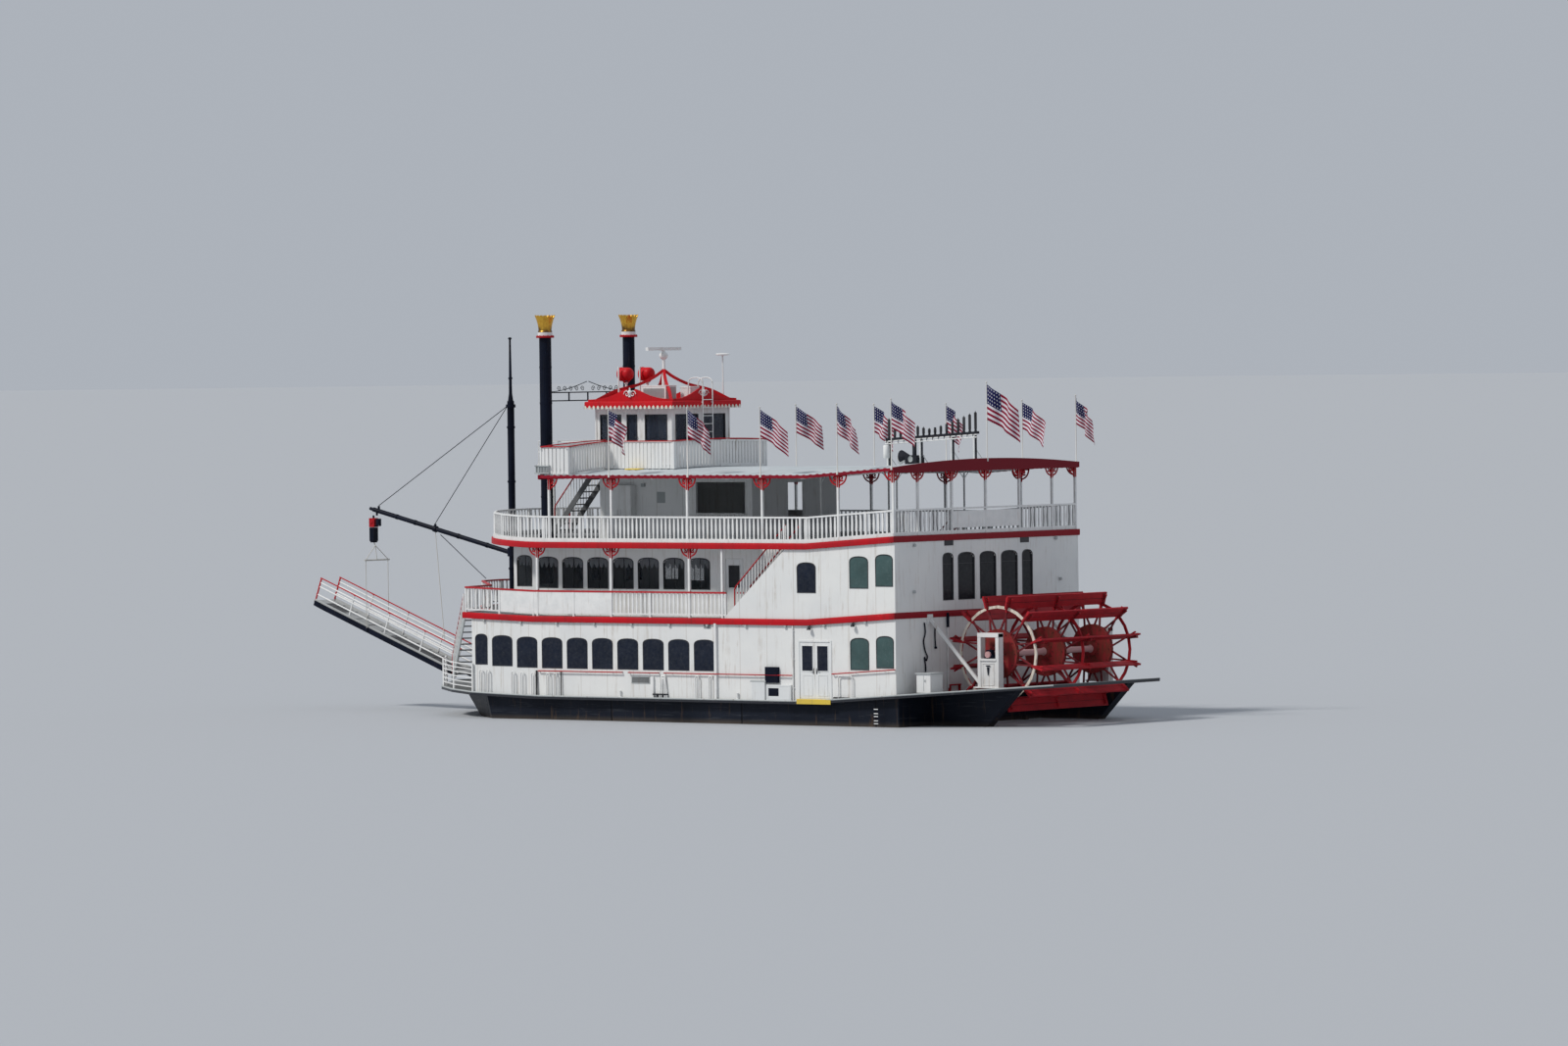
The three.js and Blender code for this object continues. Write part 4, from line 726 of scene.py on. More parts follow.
# Front openings: a pair of glazed doors in each cabin's front wall, with white rails and stiles round
# dark panes, and an arched window on either side of them.
front_parts, front_glass, front_frames = [], [], []
for wall_x, deck_z, half_door, low, high, arches, rise in ((9.4, main_deck_z, 0.8, 0.2, 2.15, (2.38, 3.3),
        0.09), (8.33, second_deck_z, 0.75, 0.16, 2.15, (2.08, 3.0), 0.06)):
    low, high = deck_z + low, deck_z + high
    front_parts.append(framed(opening(-half_door, half_door, low, high), wall_x, 1, 0.06, 0.025, "x"))
    front_parts.append(blocks([[wall_x - 0.05, wall_x - 0.02, -0.012, 0.012, low, high]]))
    for hand in (1, -1):
        y0, y1 = sorted((hand * 0.015, hand * (half_door - 0.01)))
        z0, z1 = low + 0.95, high - 0.16
        bars = ((y0, y1, low, z0), (y0, y1, z1, high), (y0, y0 + 0.12, z0, z1), (y1 - 0.12, y1, z0, z1))
        front_parts.append(blocks([[wall_x - 0.06, wall_x - 0.02, *bar] for bar in bars]))
        front_glass.append(blocks([[wall_x - 0.045, wall_x - 0.035, y0 + 0.12, y1 - 0.12, z0, z1]]))
        y0, y1 = sorted((hand * arches[0], hand * arches[1]))
        outline = arch(y0, y1, deck_z + sill + rise, deck_z + head + rise)
        front_frames.append(framed(outline, wall_x, 1, 0.03, 0.016, "x"))
        front_glass.append(cut_board(outline, wall_x - 0.045, wall_x - 0.03, "x"))
piece("front_doors", front_parts, door_paint)
piece("front_window_frames", front_frames, frame_paint)
piece("front_glass", front_glass, dark_glass)


# Railings: CAD posts, caps and foot rails in white paint, filled with flat sawn balusters that
# swell at the middle. The second deck's cap rail is red. Two blank boards hang on the rails.
def rail_paint():
    """White paint all over, and red between two heights above the second deck, where the cap is."""
    material, place = new_finish("rail_paint")
    x, y, z = place.split()
    patches = place.noise(3.1, 5, 0.6)
    runs = place.stretched((8, 8, 0.8)).noise(1.4, 5, 0.65)
    white = patches.above(0.55, 0.4).mix((0.80, 0.80, 0.79), (0.68, 0.69, 0.69))
    white = (runs.above(0.64, 0.12) * 0.35).mix(white, (0.34, 0.25, 0.17))
    up = z - lift(x) - second_deck_z
    cap = up.above(0.876, 0.006) * (1 - up.above(0.945, 0.006))
    red = patches.above(0.55, 0.4).mix((0.50, 0.010, 0.018), (0.34, 0.014, 0.02))
    return lay(material, place, cap.mix(white, red), 0.36 + patches * 0.2, place.noise(30, 3), 0.004)


rail_white = rail_paint()
coat(["second_railing", "top_railing", "bow_rail_port", "bow_rail_starboard"], rail_white)
rail_y, stern_rail_x = 5.28, -9.93
top_rail_line = np.concatenate([[[stern_rail_x, rail_y], [aft_knuckle, rail_y]],
    rounded_front(rail_y, 7) - [0.06, 0]])
second_rail_line = np.array([[-2.39, rail_y], [fore_knuckle, rail_y], [9.7, rail_y], [10.08, 3.45],
    [12.33, 1.29], [12.56, 0]])
baluster_rows = np.array([[0.031, 0.0], [0.031, 0.10], [0.040, 0.24], [0.044, 0.37], [0.040, 0.50],
    [0.031, 0.64], [0.031, 0.74]])


def sawn(rows, thick=0.011):
    """A flat board whose half width changes with height, its grain upright."""
    outline = np.concatenate([rows, rows[::-1] * [-1, 1]])
    return cut_board(outline, -thick, thick)


def spaced(a, b, pitch):
    """Places at an even pitch between two points of the plan, the pitch that it comes to, and the turn
    that faces a board across the line."""
    length = np.hypot(*(b - a))
    count = max(1, int(round(length / pitch)))
    along = (b - a) / length
    turn = np.array([[along[0], along[1], 0], [-along[1], along[0], 0], [0, 0, 1]])
    return a + (b - a) * ((np.arange(count) + 0.5) / count)[:, None], length / count, turn


def balusters(line, deck_z, skip=(), pitch=0.19):
    """Boards at an even pitch along a plan line, each turned to face across it. skip gives stretches,
    as lowest and highest x and y, that have none."""
    line = np.asarray(line, float)
    points, faces = sawn(baluster_rows)
    found = []
    for a, b in zip(line[:-1], line[1:]):
        place, _, turn = spaced(a, b, pitch)
        keep = np.ones(len(place), bool)
        for x0, x1, y0, y1 in skip:
            keep &= ~((place[:, 0] > x0) & (place[:, 0] < x1) & (place[:, 1] > y0) & (place[:, 1] < y1))
        place = place[keep]
        foot = np.column_stack([place, deck_z + 0.145 + lift(place[:, 0])])
        if len(foot):
            found.append(copies((points @ turn, faces), foot))
    return found


second_boards = [(2.85, 8.1, 5.0, 5.5)]
piece("second_deck_balusters", both(balusters(second_rail_line, second_deck_z, second_boards)), rail_white)
stern_line = np.array([[stern_rail_x, 0.0], [stern_rail_x, rail_y]])
top_boards = balusters(top_rail_line, top_deck_z)
stern_boards = balusters(stern_line, top_deck_z, [(-10, -9.8, -0.1, 2.0)])
piece("top_deck_balusters", both(top_boards + stern_boards), rail_white)


# Canopy: corrugated steel sheets laid across the boat on light beams and posts, with a red fascia
# that closes their ends. Each sheet's ribs run from side to side over the camber.
canopy_edge_z = 9.75
canopy_x = (-10.0, 6.08)
camber = 0.22


def sheet_paint():
    """Pale grey galvanised sheet under worn paint, streaked across the boat where rain runs off."""
    material, place = new_finish("sheet_paint")
    x, y, z = place.split()
    clouds = place.noise(0.4, 4)
    runs = place.stretched((7, 0.4, 1)).noise(1.1, 6, 0.65)
    tone = clouds.above(0.5, 0.5).mix((0.50, 0.55, 0.58), (0.60, 0.64, 0.66))
    tone = (runs.above(0.6, 0.15) * 0.5).mix(tone, (0.30, 0.29, 0.27))
    lap = 1 - abs((x % 0.9) - 0.45).above(0.012, 0.01)
    tone = (lap * 0.5).mix(tone, (0.22, 0.22, 0.22))
    return lay(material, place, tone, 0.42 + runs * 0.3, place.noise(25, 3), 0.004, Metallic=0.15)


def canopy_at(x, y):
    """The height of the canopy: a shallow arch across the boat, raised by the sheer."""
    return canopy_edge_z + camber * (1 - (np.asarray(y, float) / wall_y) ** 2) + lift(x)


def ribbed(x, high):
    """How far the sheets' ribs rise at each x: two stations of every six stand up."""
    return high * np.isin(np.arange(len(x)) % 6, (2, 3))


sheet_finish = sheet_paint()
ribs_x = np.arange(canopy_x[0], canopy_x[1] + 0.01, 0.05)
across_y = np.linspace(-wall_y, wall_y, 25)
level = canopy_at(ribs_x[:, None], across_y)
over, under = level + ribbed(ribs_x, 0.017)[:, None], level - 0.07
loop_y = np.concatenate([across_y, across_y[::-1]])
rings = np.zeros((len(ribs_x), len(loop_y), 3))
rings[..., 0] = ribs_x[:, None]
rings[..., 1] = loop_y[None]
rings[..., 2] = np.concatenate([under, over[:, ::-1]], axis=1)
canopy_sheets = piece("canopy_sheets",
    [(rings.reshape(-1, 3), tube_faces(len(ribs_x), len(loop_y), False))], sheet_finish)
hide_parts("canopy_roof")

beams = []
for x in (-9.93, -7.5, -5.8, -4.1, -2.4, -0.7, 1.0, 2.8, 4.3, 5.7):
    y = np.linspace(-5.2, 5.2, 15)
    path = columns(x, y, canopy_at(x, y) - 0.105)
    beams.append(swept(path, oblong(0.03, -0.04, 0.035)))
for y in (-3.4, -1.95, 0.0, 1.95, 3.4):
    x = np.array([-9.95, -8, aft_knuckle, 0, 5.75])
    path = columns(x, y, canopy_at(x, y) - 0.17)
    beams.append(swept(path, oblong(0.025, -0.035, 0.03)))
for x in (-7.5, -4.1):
    for y in (-1.95, 1.95):
        foot = top_deck_z + lift(x)
        top = canopy_at(x, y) - 0.19
        beams.append(turned((x, y, foot), [[0.09, -0.001], [0.09, 0.012], [0.034, 0.014],
            [0.034, top - foot]], 12))
        for reach in (-1, 1):
            brace = np.array([[0, 0, -0.34], [0.1, 0, -0.22], [0.2, 0, -0.1], [0.32, 0, -0.02]]) * [reach,
                1, 1]
            beams.append(pipe(brace + [x, y, top], 0.014, 6, up=(0, 1, 0)))
piece("canopy_beams", beams, rail_white)

# The last number gives the fascia painted shade across the stern.
fascia_red = red_enamel("fascia_paint", (0.26, 0.008, 0.022), (0.19, 0.010, 0.022), 0.4, 0.8)
fascia_drop = 0.085
side_x = np.arange(-10.06, 6.141, 0.05)
base = canopy_edge_z + lift(side_x)
upper = columns(side_x, base + 0.008 + ribbed(side_x, 0.022))
lower = columns(side_x, base - fascia_drop - 0.012 * np.abs(np.sin(side_x * np.pi / 0.3)))


def strip_board(lower, upper, low, high, axis):
    """A long board between two matching edge lines, as quads from station to station."""
    points = np.zeros((len(lower), 4, 3))
    points[..., planes[axis][:2]] = np.stack([lower, upper, upper, lower], axis=1)
    points[..., planes[axis][2]] = [high, high, low, low]
    return points.reshape(-1, 3), tube_faces(len(lower), 4, False)


end_y = np.linspace(-deck_y, deck_y, 87)
end_arch = camber * (1 - np.minimum(1, np.abs(end_y) / wall_y) ** 2)
fascia_parts = [strip_board(lower, upper, wall_y + 0.002, wall_y + 0.04, "y"),
    strip_board(lower, upper, -wall_y - 0.04, -wall_y - 0.002, "y")]
for x0, x1, drop in ((-10.055, -10.004, 0.16), (6.084, 6.135, 0.12)):
    level = canopy_edge_z + lift(x0)
    scallop = 0.02 * np.abs(np.sin(end_y * np.pi / 0.3))
    fascia_parts.append(strip_board(columns(end_y, level - drop - scallop),
        columns(end_y, level + end_arch + 0.03), x0, x1, "x"))
piece("canopy_fascia_boards", fascia_parts, fascia_red)


# Fretwork: sawn scroll brackets in the corner between each post and the deck or canopy above it, a
# quarter curve with two curls and a drop, screwed to the post.
bracket_red = red_enamel("bracket_paint", (0.46, 0.012, 0.018), (0.30, 0.014, 0.02), 0.42)
fret_section = oblong(0.025, -0.014, 0.014)


def spiral(start, end, outer, inner, count=15):
    """A spiral round the origin, whose radius falls evenly with its angle."""
    angle, radius = np.linspace(start, end, count), np.linspace(outer, inner, count)
    return columns(radius * np.cos(angle), radius * np.sin(angle))


def fretwork():
    """One side of a bracket in its own plane: a quarter curve, a spiral, a stem, the head rail and half
    of the drop."""
    t = np.linspace(0, np.pi / 2, 9)
    bow = columns(0.03 + 0.34 * np.cos(t), -0.35 * np.sin(t))
    curl = spiral(0.25 * np.pi, 2.6 * np.pi, 0.105, 0.022) * [1, -1] + [0.145, -0.115]
    stem = np.array([[0.05, -0.30], [0.07, -0.22], [0.05, -0.12], [0.035, -0.04]])
    head_rail = np.array([[0.04, -0.012], [0.40, -0.012]])
    foot = np.array([[0.03, -0.33], [0.06, -0.37], [0.045, -0.42], [0.008, -0.455]])
    return [bow, curl, stem, head_rail, foot]


def brackets(places, across_boat=False):
    """The scrolls swept with a square section, set each way from every post: places holds x, y, z of
    the post's head and which ways there is a bracket."""
    found = []
    for x, y, z, ways in places:
        found.append(turned((x, y, z), [[0.0, -0.50], [0.022, -0.47], [0.052, -0.42], [0.056, -0.06],
            [0.075, -0.03], [0.075, 0.0]], 10))
        for way in ways:
            for line in fretwork():
                path = np.zeros((len(line), 3))
                path[:, 2] = z + line[:, 1]
                path[:, 1 if across_boat else 0] = (y if across_boat else x) + way * line[:, 0]
                path[:, 0 if across_boat else 1] = x if across_boat else y
                found.append(swept(path, fret_section, up=(1, 0, 0) if across_boat else (0, 1, 0)))
    return found


under_top, under_canopy = top_deck_z - deck_thick, canopy_edge_z - 0.07
second_places = [(x, rail_y, under_top + lift(x), (1, -1)) for x in (-0.75, 2.85, 6.3)]
canopy_places = [(stern_rail_x, rail_y, under_canopy + lift(stern_rail_x), (1,))]
canopy_places += [(x, rail_y, under_canopy + lift(x), (1, -1)) for x in (-7.5, -4.1, -0.7, 2.8)]
canopy_places += [(5.7, rail_y, under_canopy, (-1,))]
stern_places = [(stern_rail_x, y, under_canopy + 0.26, ways)
    for y, ways in [(rail_y, (-1,)), *[(y, (1, -1)) for y in (3.9, 1.96, 0, -1.96, -3.9)], (-rail_y, (1,))]]
piece("second_deck_fretwork", both(brackets(second_places)), bracket_red)
piece("canopy_fretwork", both(brackets(canopy_places)) + brackets(stern_places, True), bracket_red)


# Flags: eleven printed cotton flags on white staffs along the canopy's edge, the one at the stern larger.
# They hang from toggles at the hoist and droop aft in folds.
def flag_cloth(width, height):
    """Thirteen stripes along the cloth and a blue canton with rows of small stars, worked from the
    cloth's own coordinates, with a plain weave."""
    material = bpy.data.materials.new(f"flag_cloth_{int(width * 100)}")
    material.use_nodes = True
    place = Wire(material.node_tree).node("ShaderNodeUVMap", {"uv_map": "cloth"})
    u, v, w = place.split()
    stripe = ((v * 13) % 2.0) < 1.0
    tone = stripe.mix((0.66, 0.63, 0.68), (0.24, 0.005, 0.028))
    canton = (u < 0.4) * (v > 6 / 13)
    across_u = abs(((u / 0.4 * 6) % 1.0) - 0.5)
    across_v = abs((((v - 6 / 13) * 13 / 7 * 5) % 1.0) - 0.5)
    star = (across_u * 1.3 + across_v) < 0.26
    tone = canton.mix(tone, star.mix((0.007, 0.010, 0.07), (0.7, 0.7, 0.72)))
    creases_and_shade = place.stretched((3, 9, 1)).noise(2, 4)
    # Painted shade: the cloth is darker along the creases, as in the folds' shadow.
    tone = (creases_and_shade.above(0.6, 0.3) * 0.25).mix(tone, (0.16, 0.13, 0.16))
    threads = place.stretched((width * 900, height * 900, 1)).noise(1, 1) * 0.3 + creases_and_shade
    lay(material, place, tone, 0.8 + creases_and_shade * 0.1, threads, 0.003, Specular_IOR_Level=0.15)
    return material


def hanging(hoist, width, height, droop, heading, gather, seed):
    """The cloth as a function of u along the fly and v down the hoist. Each row is laid off by its
    direction, which sinks at the droop angle and turns to both sides of the heading by the gather,
    so that a row keeps its length while it closes into slanting pleats."""
    rows, cols = 21, 61
    u = np.linspace(0, 1, cols)[None, :]
    v = np.linspace(0, 1, rows)[:, None]
    fall = droop * (0.75 + 0.35 * u)
    ripple = np.sin(2 * np.pi * (3.6 * u - 0.4 * v))
    pleats = 0.8 * np.sin(2 * np.pi * (1.7 * u + 0.3 * v) + seed) + 0.2 * ripple
    turn = heading + gather * np.minimum(1, 0.35 + 2.2 * u) * pleats

    def laid_off(rate):
        """Sum of the steps from the hoist to each column."""
        return (np.cumsum(rate, axis=1) - rate[:, :1]) * width / (cols - 1)

    x = hoist[0] - laid_off(np.cos(fall) * np.cos(turn))
    y = hoist[1] + laid_off(np.cos(fall) * np.sin(turn))
    z = hoist[2] - laid_off(np.sin(fall)) - height * v * (1 - 0.08 * u)
    points = columns(x, y, z).reshape(-1, 3)
    index = np.arange(rows * cols).reshape(rows, cols)
    quads = np.stack([index[:-1, :-1], index[1:, :-1], index[1:, 1:], index[:-1, 1:]], axis=-1).reshape(-1,
        4)
    uv = columns(u, 1 - v).reshape(-1, 2)
    return points, quads, uv


staff_paint = enamel("staff_paint", (0.70, 0.69, 0.66), (0.55, 0.54, 0.52), (0.3, 0.25, 0.2), 0.45)
gathers = ((2.83, 1.5, 0.9), (-0.8, 1.45, 1.3), (-4.1, 0.6, 1.5), (-7.54, 1.2, 0.9), (-9.94, 1.0, 1.3))
staff_rows = [(x, hand * (wall_y + 0.03), 2.43, 0.95, 1.4, port if hand > 0 else starboard)
    for x, port, starboard in gathers for hand in (1, -1)] + [(-10.03, 0.0, 2.75, 1.25, 1.65, 0.8)]
small_cloth, large_cloth = flag_cloth(1.4, 0.95), flag_cloth(1.65, 1.25)
staffs = []
draw = np.random.default_rng(11)
for number, (x, y, tall, height, width, gather) in enumerate(staff_rows):
    foot = canopy_edge_z + lift(x) + (0.2 if y == 0 else 0) - 0.06
    staffs.append(turned((x, y, foot), [[0.045, 0], [0.045, 0.10], [0.022, 0.12], [0.018, tall],
        [0.034, tall + 0.01], [0.034, tall + 0.045], [0.008, tall + 0.06]], 10))
    droop = 0.58 + 0.12 * draw.random()
    heading = -0.35 + 0.75 * draw.random()
    hoist = np.array([x - 0.024, y, foot + tall - 0.05])
    points, quads, uv = hanging(hoist, width, height, droop, heading, gather, 6.3 * draw.random())
    mesh = bpy.data.meshes.new(f"flag_{number:02d}")
    mesh.from_pydata(points.tolist(), [], quads.tolist())
    layer = mesh.uv_layers.new(name="cloth")
    layer.data.foreach_set("uv", uv[quads.ravel()].astype(np.float32).ravel())
    mesh.shade_smooth()
    mesh.materials.append(large_cloth if y == 0 else small_cloth)
    flag = bpy.data.objects.new(f"flag_{number:02d}", mesh)
    bpy.context.scene.collection.objects.link(flag)
    thick = flag.modifiers.new("thickness", "SOLIDIFY")
    thick.thickness = 0.003
    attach(flag, "boat")
staff_piece = piece("flag_staffs", staffs, staff_paint)
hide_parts("canopy_fascia")


# Pilot deck: a slatted timber bulwark stands on the canopy round the pilothouse, its fore part as wide
# as the canopy. It is painted white under a red cap. Ahead of it a pipe rail guards the stair head.
pilot_z = 10.07
pilot_white = enamel("pilot_white", (0.80, 0.80, 0.79), (0.69, 0.70, 0.70), (0.33, 0.26, 0.18), 0.4, 0.5)
coat(["pilot_deck", "pilothouse"], pilot_white)


def canopy_top(x, y):
    """The height of the canopy's ribs."""
    return canopy_at(x, y) + 0.03


def palings(a, b, pitch=0.172, tall=0.98):
    """Slats with gaps, a base board, a top rail and end posts between two points of the plan, along
    the canopy. A post is left out where the line only crosses the middle of the boat."""
    a, b = np.asarray(a, float), np.asarray(b, float)
    place, step, turn = spaced(a, b, pitch)
    slat, faces = cut_board(oblong(0.37 * step, 0.02, tall - 0.03), -0.011, 0.011)
    found = [copies((slat @ turn, faces), np.column_stack([place, canopy_top(*place.T)]))]
    line = a + (b - a) * np.linspace(0, 1, 9)[:, None]
    line = np.column_stack([line, canopy_top(*line.T)])
    for z, high, wide in ((0.0, 0.11, 0.018), (tall - 0.08, 0.06, 0.035)):
        section = [[-0.011 - wide, z], [-0.011, z], [-0.011, z + high], [-0.011 - wide, z + high]]
        found.append(swept(line, [[-p, q] for p, q in section]))
    post = cut_board(oblong(0.035, 0.0, tall), -0.035, 0.035)
    if a[1] != 0:
        found.append((post[0] @ turn + [*a, canopy_top(*a)], post[1]))
    cap = [[-0.05, 0.0], [0.05, 0.0], [0.05, 0.026], [0.03, 0.036], [-0.03, 0.036], [-0.05, 0.026]]
    return found, swept(line + [0, 0, tall], cap)


wing_y, waist_y = 5.2, 2.63
bulwark = [(2.07, 0.0), (2.07, waist_y), (5.2, waist_y), (4.86, wing_y), (6.12, wing_y), (6.12, 1.2)]
slats, caps = [], []
for hand in (1, -1):
    for a, b in zip(bulwark, bulwark[1:]):
        found, cap = palings((a[0], a[1] * hand), (b[0], b[1] * hand))
        slats += found
        caps.append(cap)
found, cap = palings((6.12, 0.0), (6.12, -1.2))
trim_red = red_enamel("trim_red", (0.48, 0.012, 0.018), (0.34, 0.014, 0.02), 0.38)
panel_z = canopy_top(0, waist_y)
panel = [[2.62, 4.74, waist_y - 0.028, waist_y - 0.009, panel_z + 0.09, panel_z + 0.92]]
slats.append(blocks(panel + [[x0, x1, -y1, -y0, z0, z1] for x0, x1, y0, y1, z0, z1 in panel]))
slat_piece = piece("pilot_bulwark_slats", slats + found, pilot_white)
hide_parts("pilot_bulwark")
piece("pilot_bulwark_cap", caps + [cap], trim_red)
landing = np.array([[6.2, 2.57], [7.09, 2.57], [10.45, 0.235], [10.45, -0.235], [7.09, -2.57],
    [6.2, -2.57]])
landing_rail = [pipe(np.column_stack([landing, np.full(6, pilot_z + high)]), 0.016)
    for high in (0.45, 0.86)]
stanchion = turned((0, 0, pilot_z), [[0.04, 0.0], [0.04, 0.012], [0.016, 0.014], [0.016, 0.86]], 8)
stations = np.concatenate([landing, (landing[1:] + landing[:-1]) / 2, [[8.2, 1.8], [8.2, -1.8]]])
landing_rail.append(copies(stanchion, np.column_stack([stations, np.zeros(len(stations))])))
piece("pilot_landing_rail", landing_rail, pilot_white)
mat_paint = enamel("yellow_mat", (0.72, 0.52, 0.06), (0.6, 0.44, 0.1), (0.25, 0.2, 0.1), 0.7)
mat_y = np.array([2.72, 3.02])
mat_foot, mat_top = [columns(mat_y, canopy_top(0, mat_y) + rise) for rise in (-0.01, 0.025)]
piece("canopy_mat", [strip_board(mat_foot, mat_top, 3.4, 4.05, "x")], mat_paint)
lamp_box = [[6.17, 6.19, 4.65, 5.3, 9.86, 10.10], [6.16, 6.34, 4.62, 5.33, 10.10, 10.13],
    [6.16, 6.34, 4.62, 5.33, 9.82, 9.86]]
lamp_box += [[5.72 + k * 0.07, 5.75 + k * 0.07, 5.25, 5.30, 9.86, 10.10] for k in range(9)]
lamp_box += [[5.68, 6.34, 5.22, 5.32, 10.08, 10.12], [5.68, 6.34, 5.22, 5.32, 9.83, 9.87]]
piece("side_lamp_screen", both([blocks(lamp_box)]), grey_paint)


# Pilothouse: framed windows of dark glass in a white steel house, corner boards and a grab rail.
house_x = (2.97, 6.51)
house_y = 1.63
pane_z = (pilot_z + 0.9, pilot_z + 1.8)
house_frames, house_panes = [], []
for x0, x1 in ((5.35, 6.3), (4.6, 5.05), (3.2, 4.2)):
    outline = opening(x0, x1, *pane_z)
    for hand in (1, -1):
        house_frames.append(framed(outline, hand * house_y, hand, 0.035, 0.018))
        house_panes.append(cut_board(outline, hand * (house_y - 0.045), hand * (house_y - 0.035)))
for y0, y1 in ((0.15, 1.4), (-1.4, -0.15)):
    outline = opening(y0, y1, *pane_z)
    for x, out in ((house_x[0], -1), (house_x[1], 1)):
        house_frames.append(framed(outline, x, out, 0.035, 0.018, "x"))
        house_panes.append(cut_board(outline, x - out * 0.045, x - out * 0.035, "x"))
piece("pilothouse_window_frames", house_frames, frame_paint)
piece("pilothouse_window_glass", house_panes, port_glass("pilot_glass", (0.012, 0.018, 0.032), 0.09, 0.62))
corner_rows = [[x - 0.03, x + 0.03, y - 0.03, y + 0.03, pilot_z, pilot_z + 2.09] for x in house_x
    for y in (house_y, -house_y)]
door_lines = [[4.45, 5.2, hand * house_y - 0.004, hand * house_y + 0.006, z, z + 0.02] for hand in (1, -1)
    for z in (pilot_z + 0.06, pilot_z + 1.98)] + [[x, x + 0.02, hand * house_y - 0.004,
    hand * house_y + 0.006, pilot_z + 0.06, pilot_z + 2.0] for hand in (1, -1) for x in (4.44, 5.2)]
piece("pilothouse_corner_boards", [blocks(corner_rows), blocks(door_lines)], pilot_white, bevel=0.004)
piece("pilothouse_door_handles",
    [pipe([[4.55, hand * (house_y - 0.01), pilot_z + 1.0], [4.55, hand * (house_y + 0.05), pilot_z + 1.0],
    [4.66, hand * (house_y + 0.05), pilot_z + 1.0]], 0.012) for hand in (1, -1)], frame_paint)

# Pilothouse roof: a red slab with cream dentils under its edge, a scrolled board along each side with
# a white ornament in its notch, and four curved ribs that rise from the corners to the mast.
eaves_z, slab_top = 12.18, 12.37
eaves = np.array([2.66, 6.78])
eaves_y = 1.96
roof_red = red_enamel("roof_red", (0.56, 0.010, 0.016), (0.40, 0.014, 0.02), 0.3)
slab_ring = opening(*eaves, -eaves_y, eaves_y)
levels = np.array([[0.3, eaves_z], [0.05, eaves_z - 0.03], [0.0, eaves_z - 0.03], [0.0, slab_top - 0.03],
    [0.02, slab_top - 0.005], [0.06, slab_top], [0.5, slab_top + 0.035], [1.2, slab_top + 0.07]])
rings = np.array([[[x + (inset if x < 4 else -inset), y + (inset if y < 0 else -inset), z]
    for x, y in slab_ring] for inset, z in levels])
roof_parts = [(rings.reshape(-1, 3), tube_faces(len(levels), 4, False))]


def through(points, steps=6):
    """A smooth line through the points: on each stretch a cubic whose slope at either end is half
    the step between its neighbours."""
    points = np.asarray(points, float)
    wide = np.concatenate([[2 * points[0] - points[1]], points, [2 * points[-1] - points[-2]]])
    t = np.linspace(0, 1, steps, endpoint=False)[:, None]
    spans = [0.5 * ((2 * b) + (c - a) * t + (2 * a - 5 * b + 4 * c - d) * t ** 2
        + (3 * b - a - 3 * c + d) * t ** 3) for a, b, c, d in zip(wide, wide[1:], wide[2:], wide[3:])]
    return np.concatenate(spans + [points[-1:]])


swan = np.array([[0, 0.07], [0.16, 0.11], [0.3, 0.24], [0.42, 0.42], [0.455, 0.41], [0.478, 0.25],
    [0.5, 0.15]])
half_line = through(swan, 4)
swan_line = np.concatenate([half_line, (half_line * [-1, 1] + [1, 0])[-2::-1]])
for length, middle, level, axis in ((3.98, 4.74, eaves_y - 0.17, "y"), (3.64, 0.0, eaves[1] - 0.17, "x"),
        (3.64, 0.0, eaves[0] + 0.17, "x")):
    for hand in ((1, -1) if axis == "y" else (1,)):
        upper = columns(middle + (swan_line[:, 0] - 0.5) * length, slab_top + swan_line[:, 1])
        lower = columns(upper[:, 0], slab_top - 0.02)
        depth = hand * level
        roof_parts.append(strip_board(lower, upper, depth - 0.025, depth + 0.025, axis))
rib_shares = np.array([[0, 0], [0.3, 0.33], [0.62, 0.52], [0.85, 0.76], [1, 1]])
peak_x, peak_z = 4.65, 13.48
for x in eaves + [0.26, -0.26]:
    for y in (eaves_y - 0.26, 0.26 - eaves_y):
        share = through(rib_shares, 5)
        line = columns(x + (peak_x - x) * share[:, 0], y * (1 - share[:, 0]),
            slab_top + 0.01 + (peak_z - slab_top) * share[:, 1])
        roof_parts.append(swept(line, oblong(0.05, -0.055, 0.05)))
roof_piece = piece("pilothouse_roof_boards", roof_parts, roof_red)
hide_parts("pilothouse_roof")

cream = enamel("cream_trim", (0.80, 0.77, 0.68), (0.66, 0.62, 0.54), (0.3, 0.2, 0.15), 0.45)
step_x = np.arange(eaves[0] + 0.08, eaves[1] - 0.03, 0.2)
step_y = np.arange(-eaves_y + 0.08, eaves_y - 0.03, 0.2)
tooth = np.array([[-0.052, -0.085], [0.052, -0.085], [0.052, 0.0], [0.0, 0.045], [-0.052, 0.0]]) + [0,
    eaves_z]
dentils = [copies(cut_board(tooth, hand * eaves_y - 0.004, hand * eaves_y + 0.012),
    np.outer(step_x, [1, 0, 0])) for hand in (1, -1)]
dentils += [copies(cut_board(tooth, x - 0.008, x + 0.008, "x"), np.outer(step_y, [0, 1, 0])) for x in eaves
    + [-0.006, 0.006]]
piece("eaves_dentils", dentils, cream)
ornaments = []
curl = spiral(0, 2.3 * np.pi, 0.14, 0.02, 16)
